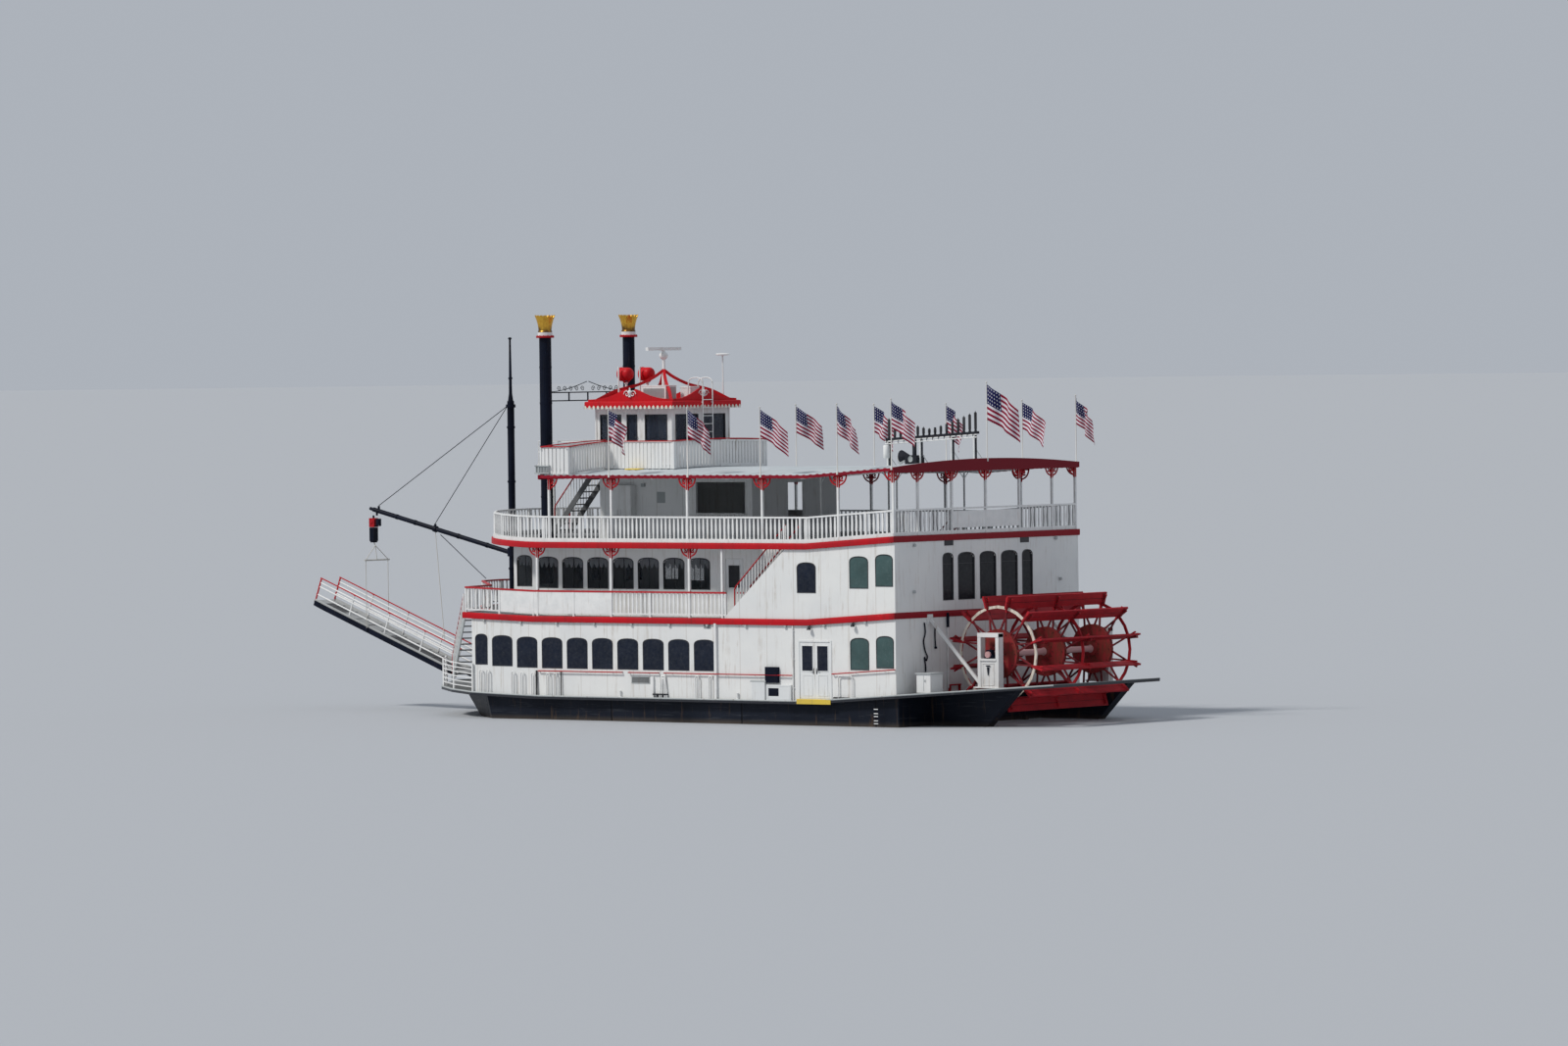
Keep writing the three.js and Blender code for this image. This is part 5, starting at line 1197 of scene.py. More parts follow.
for x, y, axis in ((4.74, 1.84, "y"), (4.74, -1.84, "y"), (6.64, 0.0, "x"), (2.80, 0.0, "x")):
    base_z = slab_top + 0.14
    ornaments.append(turned((x, y, base_z), [[0.02, 0.0], [0.055, 0.02], [0.03, 0.07], [0.07, 0.14],
        [0.085, 0.20], [0.05, 0.25], [0.025, 0.27], [0.035, 0.31], [0.008, 0.36]], 10))
    for way in (1, -1):
        path = np.zeros((len(curl), 3)) + [x, y, base_z]
        path[:, [0 if axis == "y" else 1, 2]] += (curl + [0.14, 0.12]) * [way, 1]
        ornaments.append(pipe(path, 0.016, 6, up=(0, 1, 0) if axis == "y" else (1, 0, 0)))
piece("roof_ornaments", ornaments, pilot_white)


# Roof gear: two red searchlights on posts, the cabin cooler with its grille, a locker, a pair of air
# horns, the hooped ladder, the antenna and the bulb that the radar scanner turns on.
def lamp_drum(x, y, z, radius, length):
    """A drum turned about its own level axis: a flared bezel ahead, a straight body and a domed back."""
    rows = np.array([[0.0, -0.50], [0.55, -0.47], [0.85, -0.40], [0.98, -0.28], [1.0, -0.1], [1.0, 0.36],
        [1.06, 0.38], [1.06, 0.48], [0.96, 0.5], [0.90, 0.42], [0.0, 0.40]]) * [radius, length]
    return lying(rows, (x, y, z), 20)


drums, lenses, poles = [], [], []
lens = [[0.0, 0.0], [0.214, 0.0], [0.216, 0.012], [0.12, 0.03], [0.0, 0.036]]
z = slab_top + 0.98
for x, y in ((5.68, 0.90), (5.72, -0.35)):
    drums.append(lamp_drum(x, y, z, 0.24, 0.5))
    lenses.append(lying(lens, (x + 0.212, y, z), 20))
    swing = np.linspace(0, np.pi, 13)
    yoke = columns(x, y + 0.29 * np.cos(swing), z - 0.30 * np.sin(swing))
    drums.append(swept(yoke, oblong(0.03, -0.008, 0.008), up=(1, 0, 0)))
    poles.append(turned((x, y, z), [[0.10, -0.98], [0.10, -0.96], [0.045, -0.95], [0.045, -0.36],
        [0.07, -0.35], [0.07, -0.30], [0.02, -0.29]], 14))
    poles.append(turned((x + 0.08, y + 0.33, z), [[0.03, -0.98], [0.03, 0.27], [0.0, 0.28]], 10))
poles.append(turned((peak_x, 0, 0), [[0.09, slab_top], [0.075, peak_z - 0.1], [0.055, peak_z + 0.02],
    [0.055, 13.86], [0.11, 13.90], [0.16, 13.97], [0.16, 14.04], [0.11, 14.11], [0.06, 14.125]], 16))
poles.append(turned((3.11, -1.5, 0), [[0.07, slab_top], [0.07, slab_top + 0.02], [0.028, slab_top + 0.03],
    [0.028, 13.98], [0.07, 14.0]], 12))
poles.append(turned((3.11, -1.5, 0), [[0.05, 13.98], [0.25, 14.0], [0.26, 14.03], [0.22, 14.06],
    [0.08, 14.07]], 20))
lamp_red = red_enamel("lamp_red", (0.58, 0.010, 0.016), (0.44, 0.014, 0.02), 0.25)
piece("searchlight_drums", drums, lamp_red)
piece("searchlight_lenses", lenses, port_glass("lens_glass", (0.42, 0.44, 0.46), 0.08))
piece("roof_posts", poles, pilot_white)
cooler = (3.72, 4.87, 0.43, 1.03, slab_top + 0.03, slab_top + 0.56)
locker = (3.26, 3.72, -0.30, 0.20, slab_top + 0.03, slab_top + 0.50)


def lid(box, out, drop, rise):
    """The edge of a lid that stands out all round the top of a box."""
    return [box[0] - out, box[1] + out, box[2] - out, box[3] + out, box[5] - drop, box[5] + rise]


gear = [blocks([cooler, locker, lid(cooler, 0.01, 0.03, 0.005), lid(locker, 0.012, 0.05, 0.012)])]
horn_rows = [[0.012, 0.0], [0.02, 0.10], [0.03, 0.26], [0.055, 0.36], [0.095, 0.43], [0.10, 0.44],
    [0.085, 0.43]]
for y in (-1.05, -1.25):
    gear.append(lying(horn_rows, (5.8, y, slab_top + 0.32), 14))
    gear.append(blocks([[5.86, 5.90, y - 0.02, y + 0.02, slab_top + 0.03, slab_top + 0.33]]))
piece("roof_gear", gear, pilot_white, bevel=0.008)
x0, x1, y0, y1, z0, z1 = cooler
grille = [[x0 - 0.022, x0 - 0.012, y0 + 0.05, y1 - 0.05, z, z + 0.02]
    for z in np.arange(z0 + 0.06, z1 - 0.08, 0.035)]
grille += [[x0 - 0.014, x0 - 0.008, y0 + 0.04, y1 - 0.04, z0 + 0.05, z1 - 0.06]]
grille += [[x, x + 0.02, y1 + 0.008, y1 + 0.018, z0 + 0.08, z1 - 0.1]
    for x in np.arange(x0 + 0.08, x1 - 0.1, 0.045)]
piece("cooler_grille", [blocks(grille)], grey_paint)
ladder_x = eaves[0] - 0.06
ladder_parts = []
for y in (0.30, -0.26):
    rail_line = through(np.array([[0, 0, pilot_z + 0.03 - slab_top], [0, 0, 0.4], [0, 0, 0.66],
        [0.10, 0, 0.79], [0.34, 0, 0.83], [0.58, 0, 0.77], [0.66, 0, 0.6], [0.70, 0, 0.03]])
        + [ladder_x, y, slab_top])
    ladder_parts.append(pipe(rail_line, 0.022, up=(0, 1, 0)))
    ladder_parts.append(pipe([[ladder_x, y, slab_top - 0.06], [eaves[0] + 0.03, y, slab_top - 0.06]], 0.016,
        6))
for k in range(8):
    z = pilot_z + 0.3 + k * 0.29
    ladder_parts.append(pipe([[ladder_x, -0.26, z], [ladder_x, 0.30, z]], 0.015))
piece("roof_ladder", ladder_parts, pilot_white)
coat(["radar_scanner"], pilot_white)


# Stacks: rolled steel under black enamel with riveted joints, a white band over a red flange near the
# top, and a pressed crown of flared leaves leafed with gold. Ironwork ties the two together.
def iron_paint(name, colour=(0.0025, 0.004, 0.010), gloss=0.42):
    """Black enamel that greys in clouds, with drip lines and a few rust points."""
    material, place = new_finish(name)
    clouds = place.noise(1.2, 4)
    runs = place.stretched((9, 9, 0.5)).noise(1.5, 6, 0.65)
    specks = place.noise(30, 4, 0.7)
    tone = clouds.above(0.5, 0.4).mix(colour, toned(colour, 2.2))
    tone = (runs.above(0.64, 0.1) * 0.35).mix(tone, (0.07, 0.05, 0.04))
    tone = (specks.above(0.73, 0.04) * 0.6).mix(tone, (0.12, 0.05, 0.02))
    height = clouds * 0.4 + place.noise(80, 2) * 0.08 + specks * 0.1
    return lay(material, place, tone, gloss + clouds * 0.2, height, 0.01, Specular_IOR_Level=0.10)


def gold_leaf():
    """Leaf gold rubbed thin on the ridges, darker in patches towards the foot of the crown."""
    material, place = new_finish("gold_leaf")
    x, y, z = place.split()
    worn = place.noise(9, 5, 0.7)
    darker_foot = place.noise(3, 4) * (1 - z.above(15.15, 0.35))
    tone = worn.above(0.55, 0.3).mix((0.78, 0.46, 0.06), (0.58, 0.30, 0.04))
    tone = darker_foot.above(0.35, 0.3).mix(tone, (0.16, 0.08, 0.02))
    return lay(material, place, tone, 0.27 + worn * 0.2, worn * 0.4 + place.noise(70, 3) * 0.1, 0.004,
        Metallic=0.85)


iron = iron_paint("black_iron")
coat(["stack_port", "stack_starboard", "stack_spreader", "mast", "boom"], iron)
stack_x, stack_y, stack_r = 8.26, 2.37, 0.22
crown_foot, crown_top = 14.92, 15.53
flange_z, band_z = 14.70, 14.78
leaves = 16
around_it = np.linspace(0, 2 * np.pi, leaves * 6, endpoint=False)
rise = np.linspace(0, 1, 10)
flare = stack_r + 0.015 + 0.022 * rise + 0.115 * rise ** 2.6
fluted = flare[:, None] - 0.03 * (0.3 + rise[:, None]) * np.abs(np.sin(around_it * leaves / 2))[
    None] ** 3 * 0.6
tip = 0.09 * (np.abs(np.cos(around_it * leaves / 2)) ** 1.4)[None] * rise[:, None] ** 4
level = crown_foot + (crown_top - 0.09 - crown_foot) * rise[:, None] + tip
outer, inner = [columns(r * np.cos(around_it), r * np.sin(around_it), level)
    for r in (fluted, fluted - 0.012)]
crown = np.concatenate([outer, inner[::-1]])
crown_faces = tube_faces(len(crown), crown.shape[1], True)
gold = gold_leaf()


def band(centre, z, rows):
    """A band round a stack: its radii count from the stack's skin and its heights from z."""
    return turned(centre, np.array(rows) + [stack_r, z], 32)


for name, hand in sides:
    spot = np.array([stack_x, hand * stack_y, 0.0])
    beads = band(spot, crown_foot, [[-0.02, -0.02], [0.03, -0.02], [0.045, 0.01], [0.03, 0.04],
        [-0.02, 0.04]])
    leafed = piece("crown_leaves_" + name, [(crown.reshape(-1, 3) + spot, crown_faces), beads], gold)
    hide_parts("crown_" + name)
    piece("stack_top_" + name,
        [turned(spot, [[0.0, 15.075], [stack_r - 0.03, 15.075], [stack_r - 0.002, 15.085],
        [stack_r - 0.002, 15.10], [0.0, 15.10]], 28)], iron)
    piece("stack_band_" + name, [band(spot, band_z, [[0, 0], [0.045, 0], [0.045, 0.12], [0, 0.125]])],
        pilot_white)
    bolts = np.linspace(0, 2 * np.pi, 12, endpoint=False)
    bolt = turned((0, 0, 0), [[0.013, 0.0], [0.013, 0.018], [0.0, 0.02]], 6)
    bolt_r = stack_r + 0.075
    ring = columns(bolt_r * np.cos(bolts), bolt_r * np.sin(bolts), 14.776) + spot
    flange = band(spot, flange_z, [[0, 0], [0.10, 0], [0.11, 0.01], [0.11, 0.07], [0.10, 0.078], [0, 0.08]])
    piece("stack_flange_" + name, [flange, copies(bolt, ring)], trim_red)
    seams = [band(spot, z, oblong(0.0095, 0, 0.07) + np.array([-0.0005, 0]))
        for z in (8.9, 10.75, 12.3, 13.6)]
    base = band(spot, top_deck_z, [[0, 0.08], [0.12, 0.085], [0.12, 0.13], [0.02, 0.2]])
    piece("stack_seams_" + name, seams + [base], iron)
scrolls = []
mid_z = 12.56
for hand in (1, -1):
    for y in np.arange(0.30, 1.95, 0.33):
        u, w = spiral(0, 2.6 * np.pi, 0.105, 0.023).T
        scrolls.append(pipe(columns(stack_x, hand * (y + u), mid_z + 0.28 + w), 0.011, 6, up=(1, 0, 0)))
    lean = np.linspace(0, 1, 9)
    path = columns(stack_x, hand * (0.05 + 2.0 * lean), mid_z + 0.15 + 0.36 * (1 - lean) ** 1.6 + 0.03)
    scrolls.append(pipe(path, 0.014, 6, up=(1, 0, 0)))
piece("spreader_scrolls", scrolls, iron)


# Steam organ: whistles on a pipe manifold, all painted dark, held over the canopy by white posts. The
# whistles are longest at both ends of the row and shortest at its middle.
organ_bar = 10.93
coat(["steam_organ"], iron_paint("organ_iron", (0.012, 0.013, 0.017), 0.45))
organ_x = (-9.65, -5.55)
whistles, fittings, rack = [], [], []
for k in range(16):
    x = organ_x[0] + 0.12 + (organ_x[1] - organ_x[0] - 0.24) * k / 15
    bar_z = organ_bar + lift(x)
    middle = abs(k - 7.5) / 7.5
    tall = 0.23 + 0.48 * middle
    whistles.append(turned((x, 0, bar_z), [[0.030, 0.02], [0.052, 0.05], [0.052, 0.075], [0.030, 0.09],
        [0.0, 0.10]], 12))
    whistles.append(turned((x, 0, bar_z), [[0.046, 0.13], [0.050, 0.14], [0.050, tall - 0.01],
        [0.035, tall + 0.012], [0.01, tall + 0.02], [0.012, tall + 0.05], [0.0, tall + 0.055]], 12))
    fittings.append(pipe([[x, 0.03, bar_z - 0.03], [x, 0.16, bar_z - 0.05], [x, 0.16, bar_z - 0.13]], 0.012,
        6, up=(1, 0, 0)))
for x in (-9.5, -8.5, -7.1, -5.65):
    foot = canopy_top(x, 0)
    tall = organ_bar + lift(x) - 0.05 - foot
    rack.append(turned((x, 0.062, foot), [[0.09, 0], [0.09, 0.012], [0.034, 0.016], [0.034, tall]], 10))
    rack.append(pipe([[x, 0.062, foot + 0.45], [x, -0.4, foot + 0.01]], 0.018, 6, up=(1, 0, 0)))
for z in (-0.07, -0.16):
    line = np.array([[organ_x[0], 0.09, organ_bar + z], [organ_x[1], 0.09, organ_bar + z]])
    line[:, 2] += lift(line[:, 0])
    rack.append(pipe(line, 0.022))
piece("organ_whistles", whistles, iron_paint("whistle_paint", (0.03, 0.03, 0.033), 0.3))
piece("organ_valves", fittings, iron)
drum = [[0.0, -0.24], [0.10, -0.24], [0.115, -0.22], [0.115, 0.2], [0.1, 0.22], [0.0, 0.22]]
rack.append(turned((-5.75, 0.27, organ_bar - 0.42), drum, 16))
speaker_z = 10.215
horn = [[0.05, 0.0], [0.06, 0.1], [0.10, 0.25], [0.17, 0.38], [0.175, 0.385], [0.15, 0.37], [0.04, 0.12],
    [0.0, 0.11]]
rack.append(lying(horn, (-6.54, 0.0, speaker_z), 18))
piece("organ_rack", rack, rail_white)
dial = [[0.0, 0.0], [0.10, 0.0], [0.11, 0.012], [0.10, 0.022], [0.085, 0.012], [0.0, 0.012]]
piece("organ_dial", [lying(dial, (-6.8, 0.232, speaker_z + 0.02), 20, "y")],
    port_glass("dial_glass", (0.25, 0.27, 0.27), 0.15))


# Mast, boom and stays: black steel tubes with bands, wire for the stays, and under the boom's end a
# red hoist head with a dark motor below it.
rope_paint = enamel("rope_paint", (0.62, 0.61, 0.57), (0.5, 0.49, 0.45), (0.25, 0.2, 0.14), 0.85, 0.3)
coat(["boom_stays"], iron)
mast_x = 11.97
collars = [turned((mast_x, 0, z), [[r, 0], [r + 0.025, 0.005], [r + 0.025, 0.075], [r, 0.08]], 20)
    for z, r in ((4.0, 0.13), (6.2, 0.13), (9.4, 0.13), (11.4, 0.13), (13.2, 0.052))]
collars.append(turned((mast_x, 0, 0), [[0.035, 14.66], [0.07, 14.69], [0.075, 14.71], [0.04, 14.745],
    [0.0, 14.75]], 14))
shoe = [[0.13, 0.002], [0.28, 0.004], [0.28, 0.03], [0.15, 0.04], [0.145, 0.25], [0.13, 0.27]]
collars.append(turned((mast_x, 0, main_deck_z + lift(mast_x)), shoe, 20))
piece("mast_bands", collars, iron)
boom_heel, boom_tip = np.array([12.16, 0, 6.85]), np.array([18.76, 0, 8.4])


def boom_at(x):
    """The place on the boom's centre line at x."""
    return boom_heel + (boom_tip - boom_heel) * (x - boom_heel[0]) / (boom_tip[0] - boom_heel[0])


rings = [pipe([boom_at(x - 0.04), boom_at(x + 0.04)], 0.098, 14) for x in (13.2, 14.6, 16.7, 17.6)]
rings.append(pipe([boom_tip, boom_tip + (boom_tip - boom_heel) / 40], 0.06, 12))
piece("boom_bands", rings, iron, body="boom")
hoist_x, hoist_top = 18.77, boom_at(18.6)[2] - 0.19
sheave = [[0.05, -0.15], [0.06, -0.15], [0.06, 0.15], [0.05, 0.15], [0.0, 0.15]]
piece("hoist_cheeks", [blocks([[18.64, 18.90, y - 0.012, y + 0.012, 7.74, 8.08] for y in (-0.11, 0.11)]),
    blocks([[18.67, 18.87, -0.098, 0.098, 7.80, 8.04]]), lying(sheave, (hoist_x, 0, 7.93), 12, "y")],
    trim_red, body="boom", bevel=0.01)
piece("hoist_motor",
    [blocks([[18.65, 18.89, -0.12, 0.12, 7.22, 7.73], [18.67, 18.87, -0.10, 0.10, 7.17, 7.22],
    [18.45, 18.60, -0.08, 0.08, 7.78, 8.06]]),
    turned((hoist_x, 0, 0), [[0.0, 8.05], [0.04, 8.05], [0.04, hoist_top + 0.01], [0.0, hoist_top + 0.01]],
    10)], iron, body="boom", bevel=0.012)


# Landing stage: an aluminium gangway with non-slip patches, black beams beneath, cleats across it and
# white pipe rails under a red one. Rope falls from a spreader bar and a heel rope hold it, and a wire
# guy holds the boom to the bow rail.
stage_heel = (14.26, 0.0, 2.39)
stage_turn = np.arctan2(5.02 - stage_heel[2], 21.3 - stage_heel[0])


def on_stage(along, y, up):
    """A place given along the stage from its heel pin, across it, and up from it."""
    along, up = np.asarray(along, float), np.asarray(up, float)
    return columns(stage_heel[0] + along * np.cos(stage_turn) - up * np.sin(stage_turn), y,
        stage_heel[2] + along * np.sin(stage_turn) + up * np.cos(stage_turn))


def stage_paint():
    """Splits the stage by height above its pin: black beams, a pale deck with dark rough patches,
    white rails, and red on the top rail and on the end posts."""
    material, place = new_finish("stage_paint")
    x, y, z = place.split()
    along = (x - stage_heel[0]) * np.cos(stage_turn) + (z - stage_heel[2]) * np.sin(stage_turn)
    up = (z - stage_heel[2]) * np.cos(stage_turn) - (x - stage_heel[0]) * np.sin(stage_turn)
    clouds = place.noise(1.5, 4)
    grit = place.noise(70, 3, 0.7)
    patch = (1 - (abs(along - 2.1).above(1.7, 0.01) * abs(along - 6.7).above(0.45, 0.01))) * (
        1 - abs(y).above(0.38, 0.01))
    deck = clouds.above(0.5, 0.4).mix((0.40, 0.41, 0.41), (0.30, 0.31, 0.31))
    deck = (patch * 0.9).mix(deck, (0.055, 0.056, 0.06))
    tone = up.above(-0.068, 0.003).mix((0.008, 0.009, 0.013), deck)
    tone = up.above(0.02, 0.004).mix(tone, clouds.above(0.5, 0.4).mix((0.80, 0.80, 0.79),
        (0.66, 0.66, 0.66)))
    red = (up.above(0.85, 0.004) + along.above(7.38, 0.02) * up.above(0.02, 0.004)).clip()
    tone = red.mix(tone, (0.46, 0.012, 0.018))
    return lay(material, place, tone, 0.42 + patch * 0.4, grit * (patch * 0.7 + 0.1), 0.006,
        Specular_IOR_Level=0.3)


stage_finish = stage_paint()
coat(["stage", "stage_rail_port", "stage_rail_starboard"], stage_finish)
stage_slots = [swept(on_stage([along, along], [-0.5, 0.5], -0.008),
    [[-0.02, 0], [0.02, 0], [0.012, 0.012], [-0.012, 0.012]]) for along in np.arange(0.35, 7.3, 0.65)]
for y in (0.545, -0.545):
    stage_slots.append(swept(on_stage([0.15, 7.45], y, -0.015), oblong(0.008, 0, 0.09)))
piece("stage_cleats", stage_slots, enamel("cleat_paint", (0.5, 0.51, 0.51), (0.4, 0.41, 0.41),
    (0.1, 0.08, 0.06), 0.5), body="stage")
irons = [swept(on_stage(along, np.array([-0.56, 0.56]), -0.10), oblong(0.03, -0.03, 0.03))
    for along in np.arange(0.6, 7.2, 0.9)]
irons += [pipe(on_stage([0.0, 0.0], [y - 0.03, y + 0.03], 0.0), 0.075, 16, up=(1, 0, 0))
    for y in (-0.5, 0.5)]
piece("stage_crossbeams", irons, iron, body="stage")
rails = [pipe(on_stage([0.13, 7.42], y, up), 0.03) for up in (0.25, 0.56, 0.72) for y in (0.53, -0.53)]
piece("stage_pipe_rails", rails, rail_white, body="stage")
side_beam = oblong(0.02, -0.19, 0.0)
edges = [swept(on_stage([0.30, 5.0, 7.0, 7.44], y, np.array([0.0, 0.0, 0.0, 0.01])), side_beam)
    for y in (0.585, -0.585)]
piece("stage_side_beams", edges, iron, body="stage")

spread_z = 6.52
fall_y = 0.62
lift_at = on_stage((18.6 - stage_heel[0]) / np.cos(stage_turn), 0.0, -0.09)
hook_at = np.array([18.70, 0, 7.06])
hoist_parts = [pipe([[hoist_x, 0, 7.20], hook_at + [0, 0, -0.02]], 0.02, up=(1, 0, 0)),
    pipe([[lift_at[0], -0.70, spread_z], [lift_at[0], 0.70, spread_z]], 0.03, 10)]
hoist_parts += [pipe([hook_at, [lift_at[0], fall_y * hand, spread_z + 0.02]], 0.016, 6)
    for hand in (1, 0, -1)]
hoist_piece = piece("hoist_spreader", hoist_parts, rope_paint, body="boom")
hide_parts("hoist")


def rope(name, top, foot, paint=rope_paint):
    """A line from the boom to another body."""
    t = np.linspace(0, 1, 25)[:, None]
    path = np.asarray(top) * (1 - t) + np.asarray(foot) * t
    made = piece(name, [pipe(path, 0.014, up=(0, 1, 0))], paint, body=None)
    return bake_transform(made)


for name, hand in sides:
    rope("fall_" + name, (lift_at[0], fall_y * hand, spread_z),
        (lift_at[0], fall_y * hand, lift_at[2] - 0.02))
clamp_x = 15.72
heel_foot = on_stage(1.0, 0.53, 0.91)
heel_line = rope("heel_line", (clamp_x, 0.0, boom_at(clamp_x)[2] - 0.135), heel_foot)
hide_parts("heel_rope")
rope("boom_guy", (15.45, 0.02, 7.47), (12.42, 1.0, 5.90), iron)
shackles = [turned((lift_at[0], fall_y * hand, lift_at[2]),
    [[0.0, -0.06], [0.05, -0.04], [0.05, 0.04], [0.02, 0.07], [0.0, 0.07]], 10) for hand in (1, -1)]
piece("stage_shackles", shackles, iron, body="stage")


# Paddle wheel: three welded steel flanges with crossed arms carry twelve wooden buckets, all in red paint,
# darker on the arms and hub discs, and stained. The port ring is painted cream.
wheel_x, wheel_z = -12.5, 3.5
flange_y = 2.74


def wheel_paint():
    """Splits the wheel by its radius from the shaft: dark hub discs with rust running outwards, duller
    arms, bright bucket planks with grain and a seam, and the port ring in cream."""
    material, place = new_finish("wheel_paint")
    x, y, z = place.split()
    dx, dz = x - wheel_x, z - wheel_z
    radius = (dx * dx + dz * dz) ** 0.5
    clouds = place.noise(2.2, 5, 0.6)
    grain = place.stretched((9, 0.5, 9)).noise(2.5, 5, 0.65)
    rust = place.stretched((3, 3, 0.8)).noise(3.0, 6, 0.7)
    plank = clouds.above(0.5, 0.4).mix((0.44, 0.010, 0.018), (0.27, 0.010, 0.018))
    plank = (grain.above(0.6, 0.15) * 0.5).mix(plank, (0.15, 0.008, 0.012))
    seam = 1 - abs(radius - 1.85).above(0.006, 0.006)
    plank = seam.mix(plank, (0.03, 0.004, 0.005))
    arm = clouds.above(0.45, 0.3).mix((0.22, 0.012, 0.02), (0.12, 0.012, 0.016))
    hub = rust.above(0.5, 0.25).mix((0.30, 0.016, 0.024), (0.13, 0.03, 0.018))
    tone = radius.above(1.50, 0.02).mix(arm, plank)
    tone = radius.above(0.87, 0.01).mix(hub, tone)
    shaft = 1 - radius.above(0.14, 0.01)
    tone = shaft.mix(tone, (0.52, 0.30, 0.30))
    ring = (1 - abs(radius - 1.64).above(0.058, 0.004)) * (1 - abs(y - flange_y).above(0.027, 0.003))
    tone = ring.mix(tone, rust.above(0.6, 0.2).mix((0.68, 0.62, 0.54), (0.36, 0.24, 0.17)))
    height = grain * 0.4 + clouds * 0.3 - seam * 0.8
    return lay(material, place, tone, 0.5 + clouds * 0.25, height, 0.008, Specular_IOR_Level=0.25)


wheel_finish = wheel_paint()
coat(["paddle_wheel", "wheel_shaft"], wheel_finish)


def on_wheel(part, angles):
    """A part drawn with x outward from the shaft's centre line and z along the rim, set at each angle."""
    points, faces = part
    found = []
    for angle in angles:
        spin = np.array([[np.cos(angle), 0, np.sin(angle)], [0, 1, 0], [-np.sin(angle), 0, np.cos(angle)]])
        found.append((points @ spin + [wheel_x, 0, wheel_z], faces))
    return found


bucket_angles = np.radians(np.arange(12) * 30 + 15)
straps, bolts = [], []
rim = [[0.83, -0.006], [0.865, -0.006], [0.865, 0.012], [0.83, 0.012], [0.82, 0.0]]
boss = [[0.12, 0.0], [0.27, 0.0], [0.25, 0.05], [0.18, 0.07], [0.12, 0.07]]
stud = [[0.022, 0.0], [0.022, 0.02], [0.0, 0.024]]
for y in (-flange_y, 0.0, flange_y):
    straps += on_wheel(blocks([[1.62, 2.05, y + lean - 0.04, y + lean + 0.04, z, z + 0.012]
        for z in (0.031, -0.043) for lean in (0.034, -0.034)]), bucket_angles)
    nut = turned((0, 0, 0), [[0.019, 0.0], [0.019, 0.022], [0.010, 0.024], [0.010, 0.05], [0.0, 0.052]], 6)
    places = [[r, y + lean, 0.043] for r in (1.70, 1.80, 1.91, 2.0) for lean in (0.034, -0.034)]
    bolts += on_wheel(copies(nut, places), bucket_angles)
    for way in (1, -1):
        face = y + way * 0.061
        straps.append(lying(rim, (wheel_x, face, wheel_z), 36, "y", way))
        straps.append(lying(boss, (wheel_x, face, wheel_z), 24, "y", way))
        for r in (0.34, 0.76):
            bolts += on_wheel(lying(stud, (r, face, 0), 6, "y", way), np.radians(np.arange(12) * 30))
piece("wheel_straps", straps, wheel_finish, body="wheel")
piece("wheel_bolts", bolts, iron_paint("wheel_bolt_iron", (0.06, 0.018, 0.016), 0.5), body="wheel")

foot_z = main_deck_z + lift(wheel_x - 0.425) + 0.005
frame_top = foot_z + 1.9
portal = [[-0.46, -0.32, 3.06, 3.34, foot_z, frame_top], [0.32, 0.46, 3.06, 3.34, foot_z, frame_top],
    [-0.46, 0.46, 3.05, 3.35, frame_top - 0.13, frame_top + 0.02], [-0.32, 0.32, 3.10, 3.32, foot_z, 3.30],
    [-0.36, 0.36, 3.05, 3.36, 3.28, 3.36], [-0.52, 0.52, 3.02, 3.40, foot_z, foot_z + 0.03]]
portal += [[-0.26, 0.26, 3.32, 3.335, foot_z + 0.1, foot_z + 0.13], [-0.26, 0.26, 3.32, 3.335, 3.18, 3.21],
    [-0.26, -0.23, 3.32, 3.335, foot_z + 0.13, 3.18], [0.23, 0.26, 3.32, 3.335, foot_z + 0.13, 3.18]]
portal = np.array(portal) + [wheel_x, wheel_x, 0, 0, 0, 0]
strut = swept([[stern_x - 0.06, 3.4, 4.70], [wheel_x + 0.40, 3.26, foot_z + 0.16]],
    oblong(0.045, -0.06, 0.05))
plates = blocks([[-10.04, -10.005, 3.24, 3.56, 4.52, 4.88],
    [wheel_x + 0.30, wheel_x + 0.62, 3.14, 3.38, foot_z + 0.001, foot_z + 0.05]])
cap_block = np.array([[-0.17, 0.17, 3.09, 3.31, 3.36, 3.50], [-0.12, 0.12, 3.10, 3.30, 3.50, 3.66],
    [-0.22, 0.22, 3.12, 3.28, 3.355, 3.39]]) + [wheel_x, wheel_x, 0, 0, 0, 0]
latch = cut_board(np.array([[-0.05, 3.06], [0.05, 3.06], [0.012, 2.78], [-0.012, 2.78]]) + [wheel_x, 0],
    3.335, 3.36)
latch_bar = blocks([[wheel_x - 0.09, wheel_x + 0.09, 3.335, 3.36, 3.09, 3.13]])
wet_white = enamel("stern_white", (0.76, 0.75, 0.74), (0.6, 0.6, 0.6), (0.28, 0.17, 0.1), 0.42, 0.8)
white_parts, black_parts = [blocks(portal), strut, plates], [blocks(cap_block), latch, latch_bar]
for name, hand in sides:
    if hand < 0:
        white_parts, black_parts = [[across(part) for part in parts]
            for parts in (white_parts, black_parts)]
    made = piece("bearing_portal_" + name, white_parts, wet_white, bevel=0.006)
    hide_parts("bearing_frame_" + name)
    piece("bearing_block_" + name, black_parts, iron, bevel=0.006)


# Stairs: steel flights with a red pipe handrail on each side and thin white balusters. One goes up each
# side amidships and one to the pilot deck, with dark stringers, and one each side of the bow, with grey
# ones.
tread_grey = enamel("tread_paint", (0.10, 0.105, 0.11), (0.16, 0.165, 0.17), (0.05, 0.04, 0.03), 0.6, 0.3)


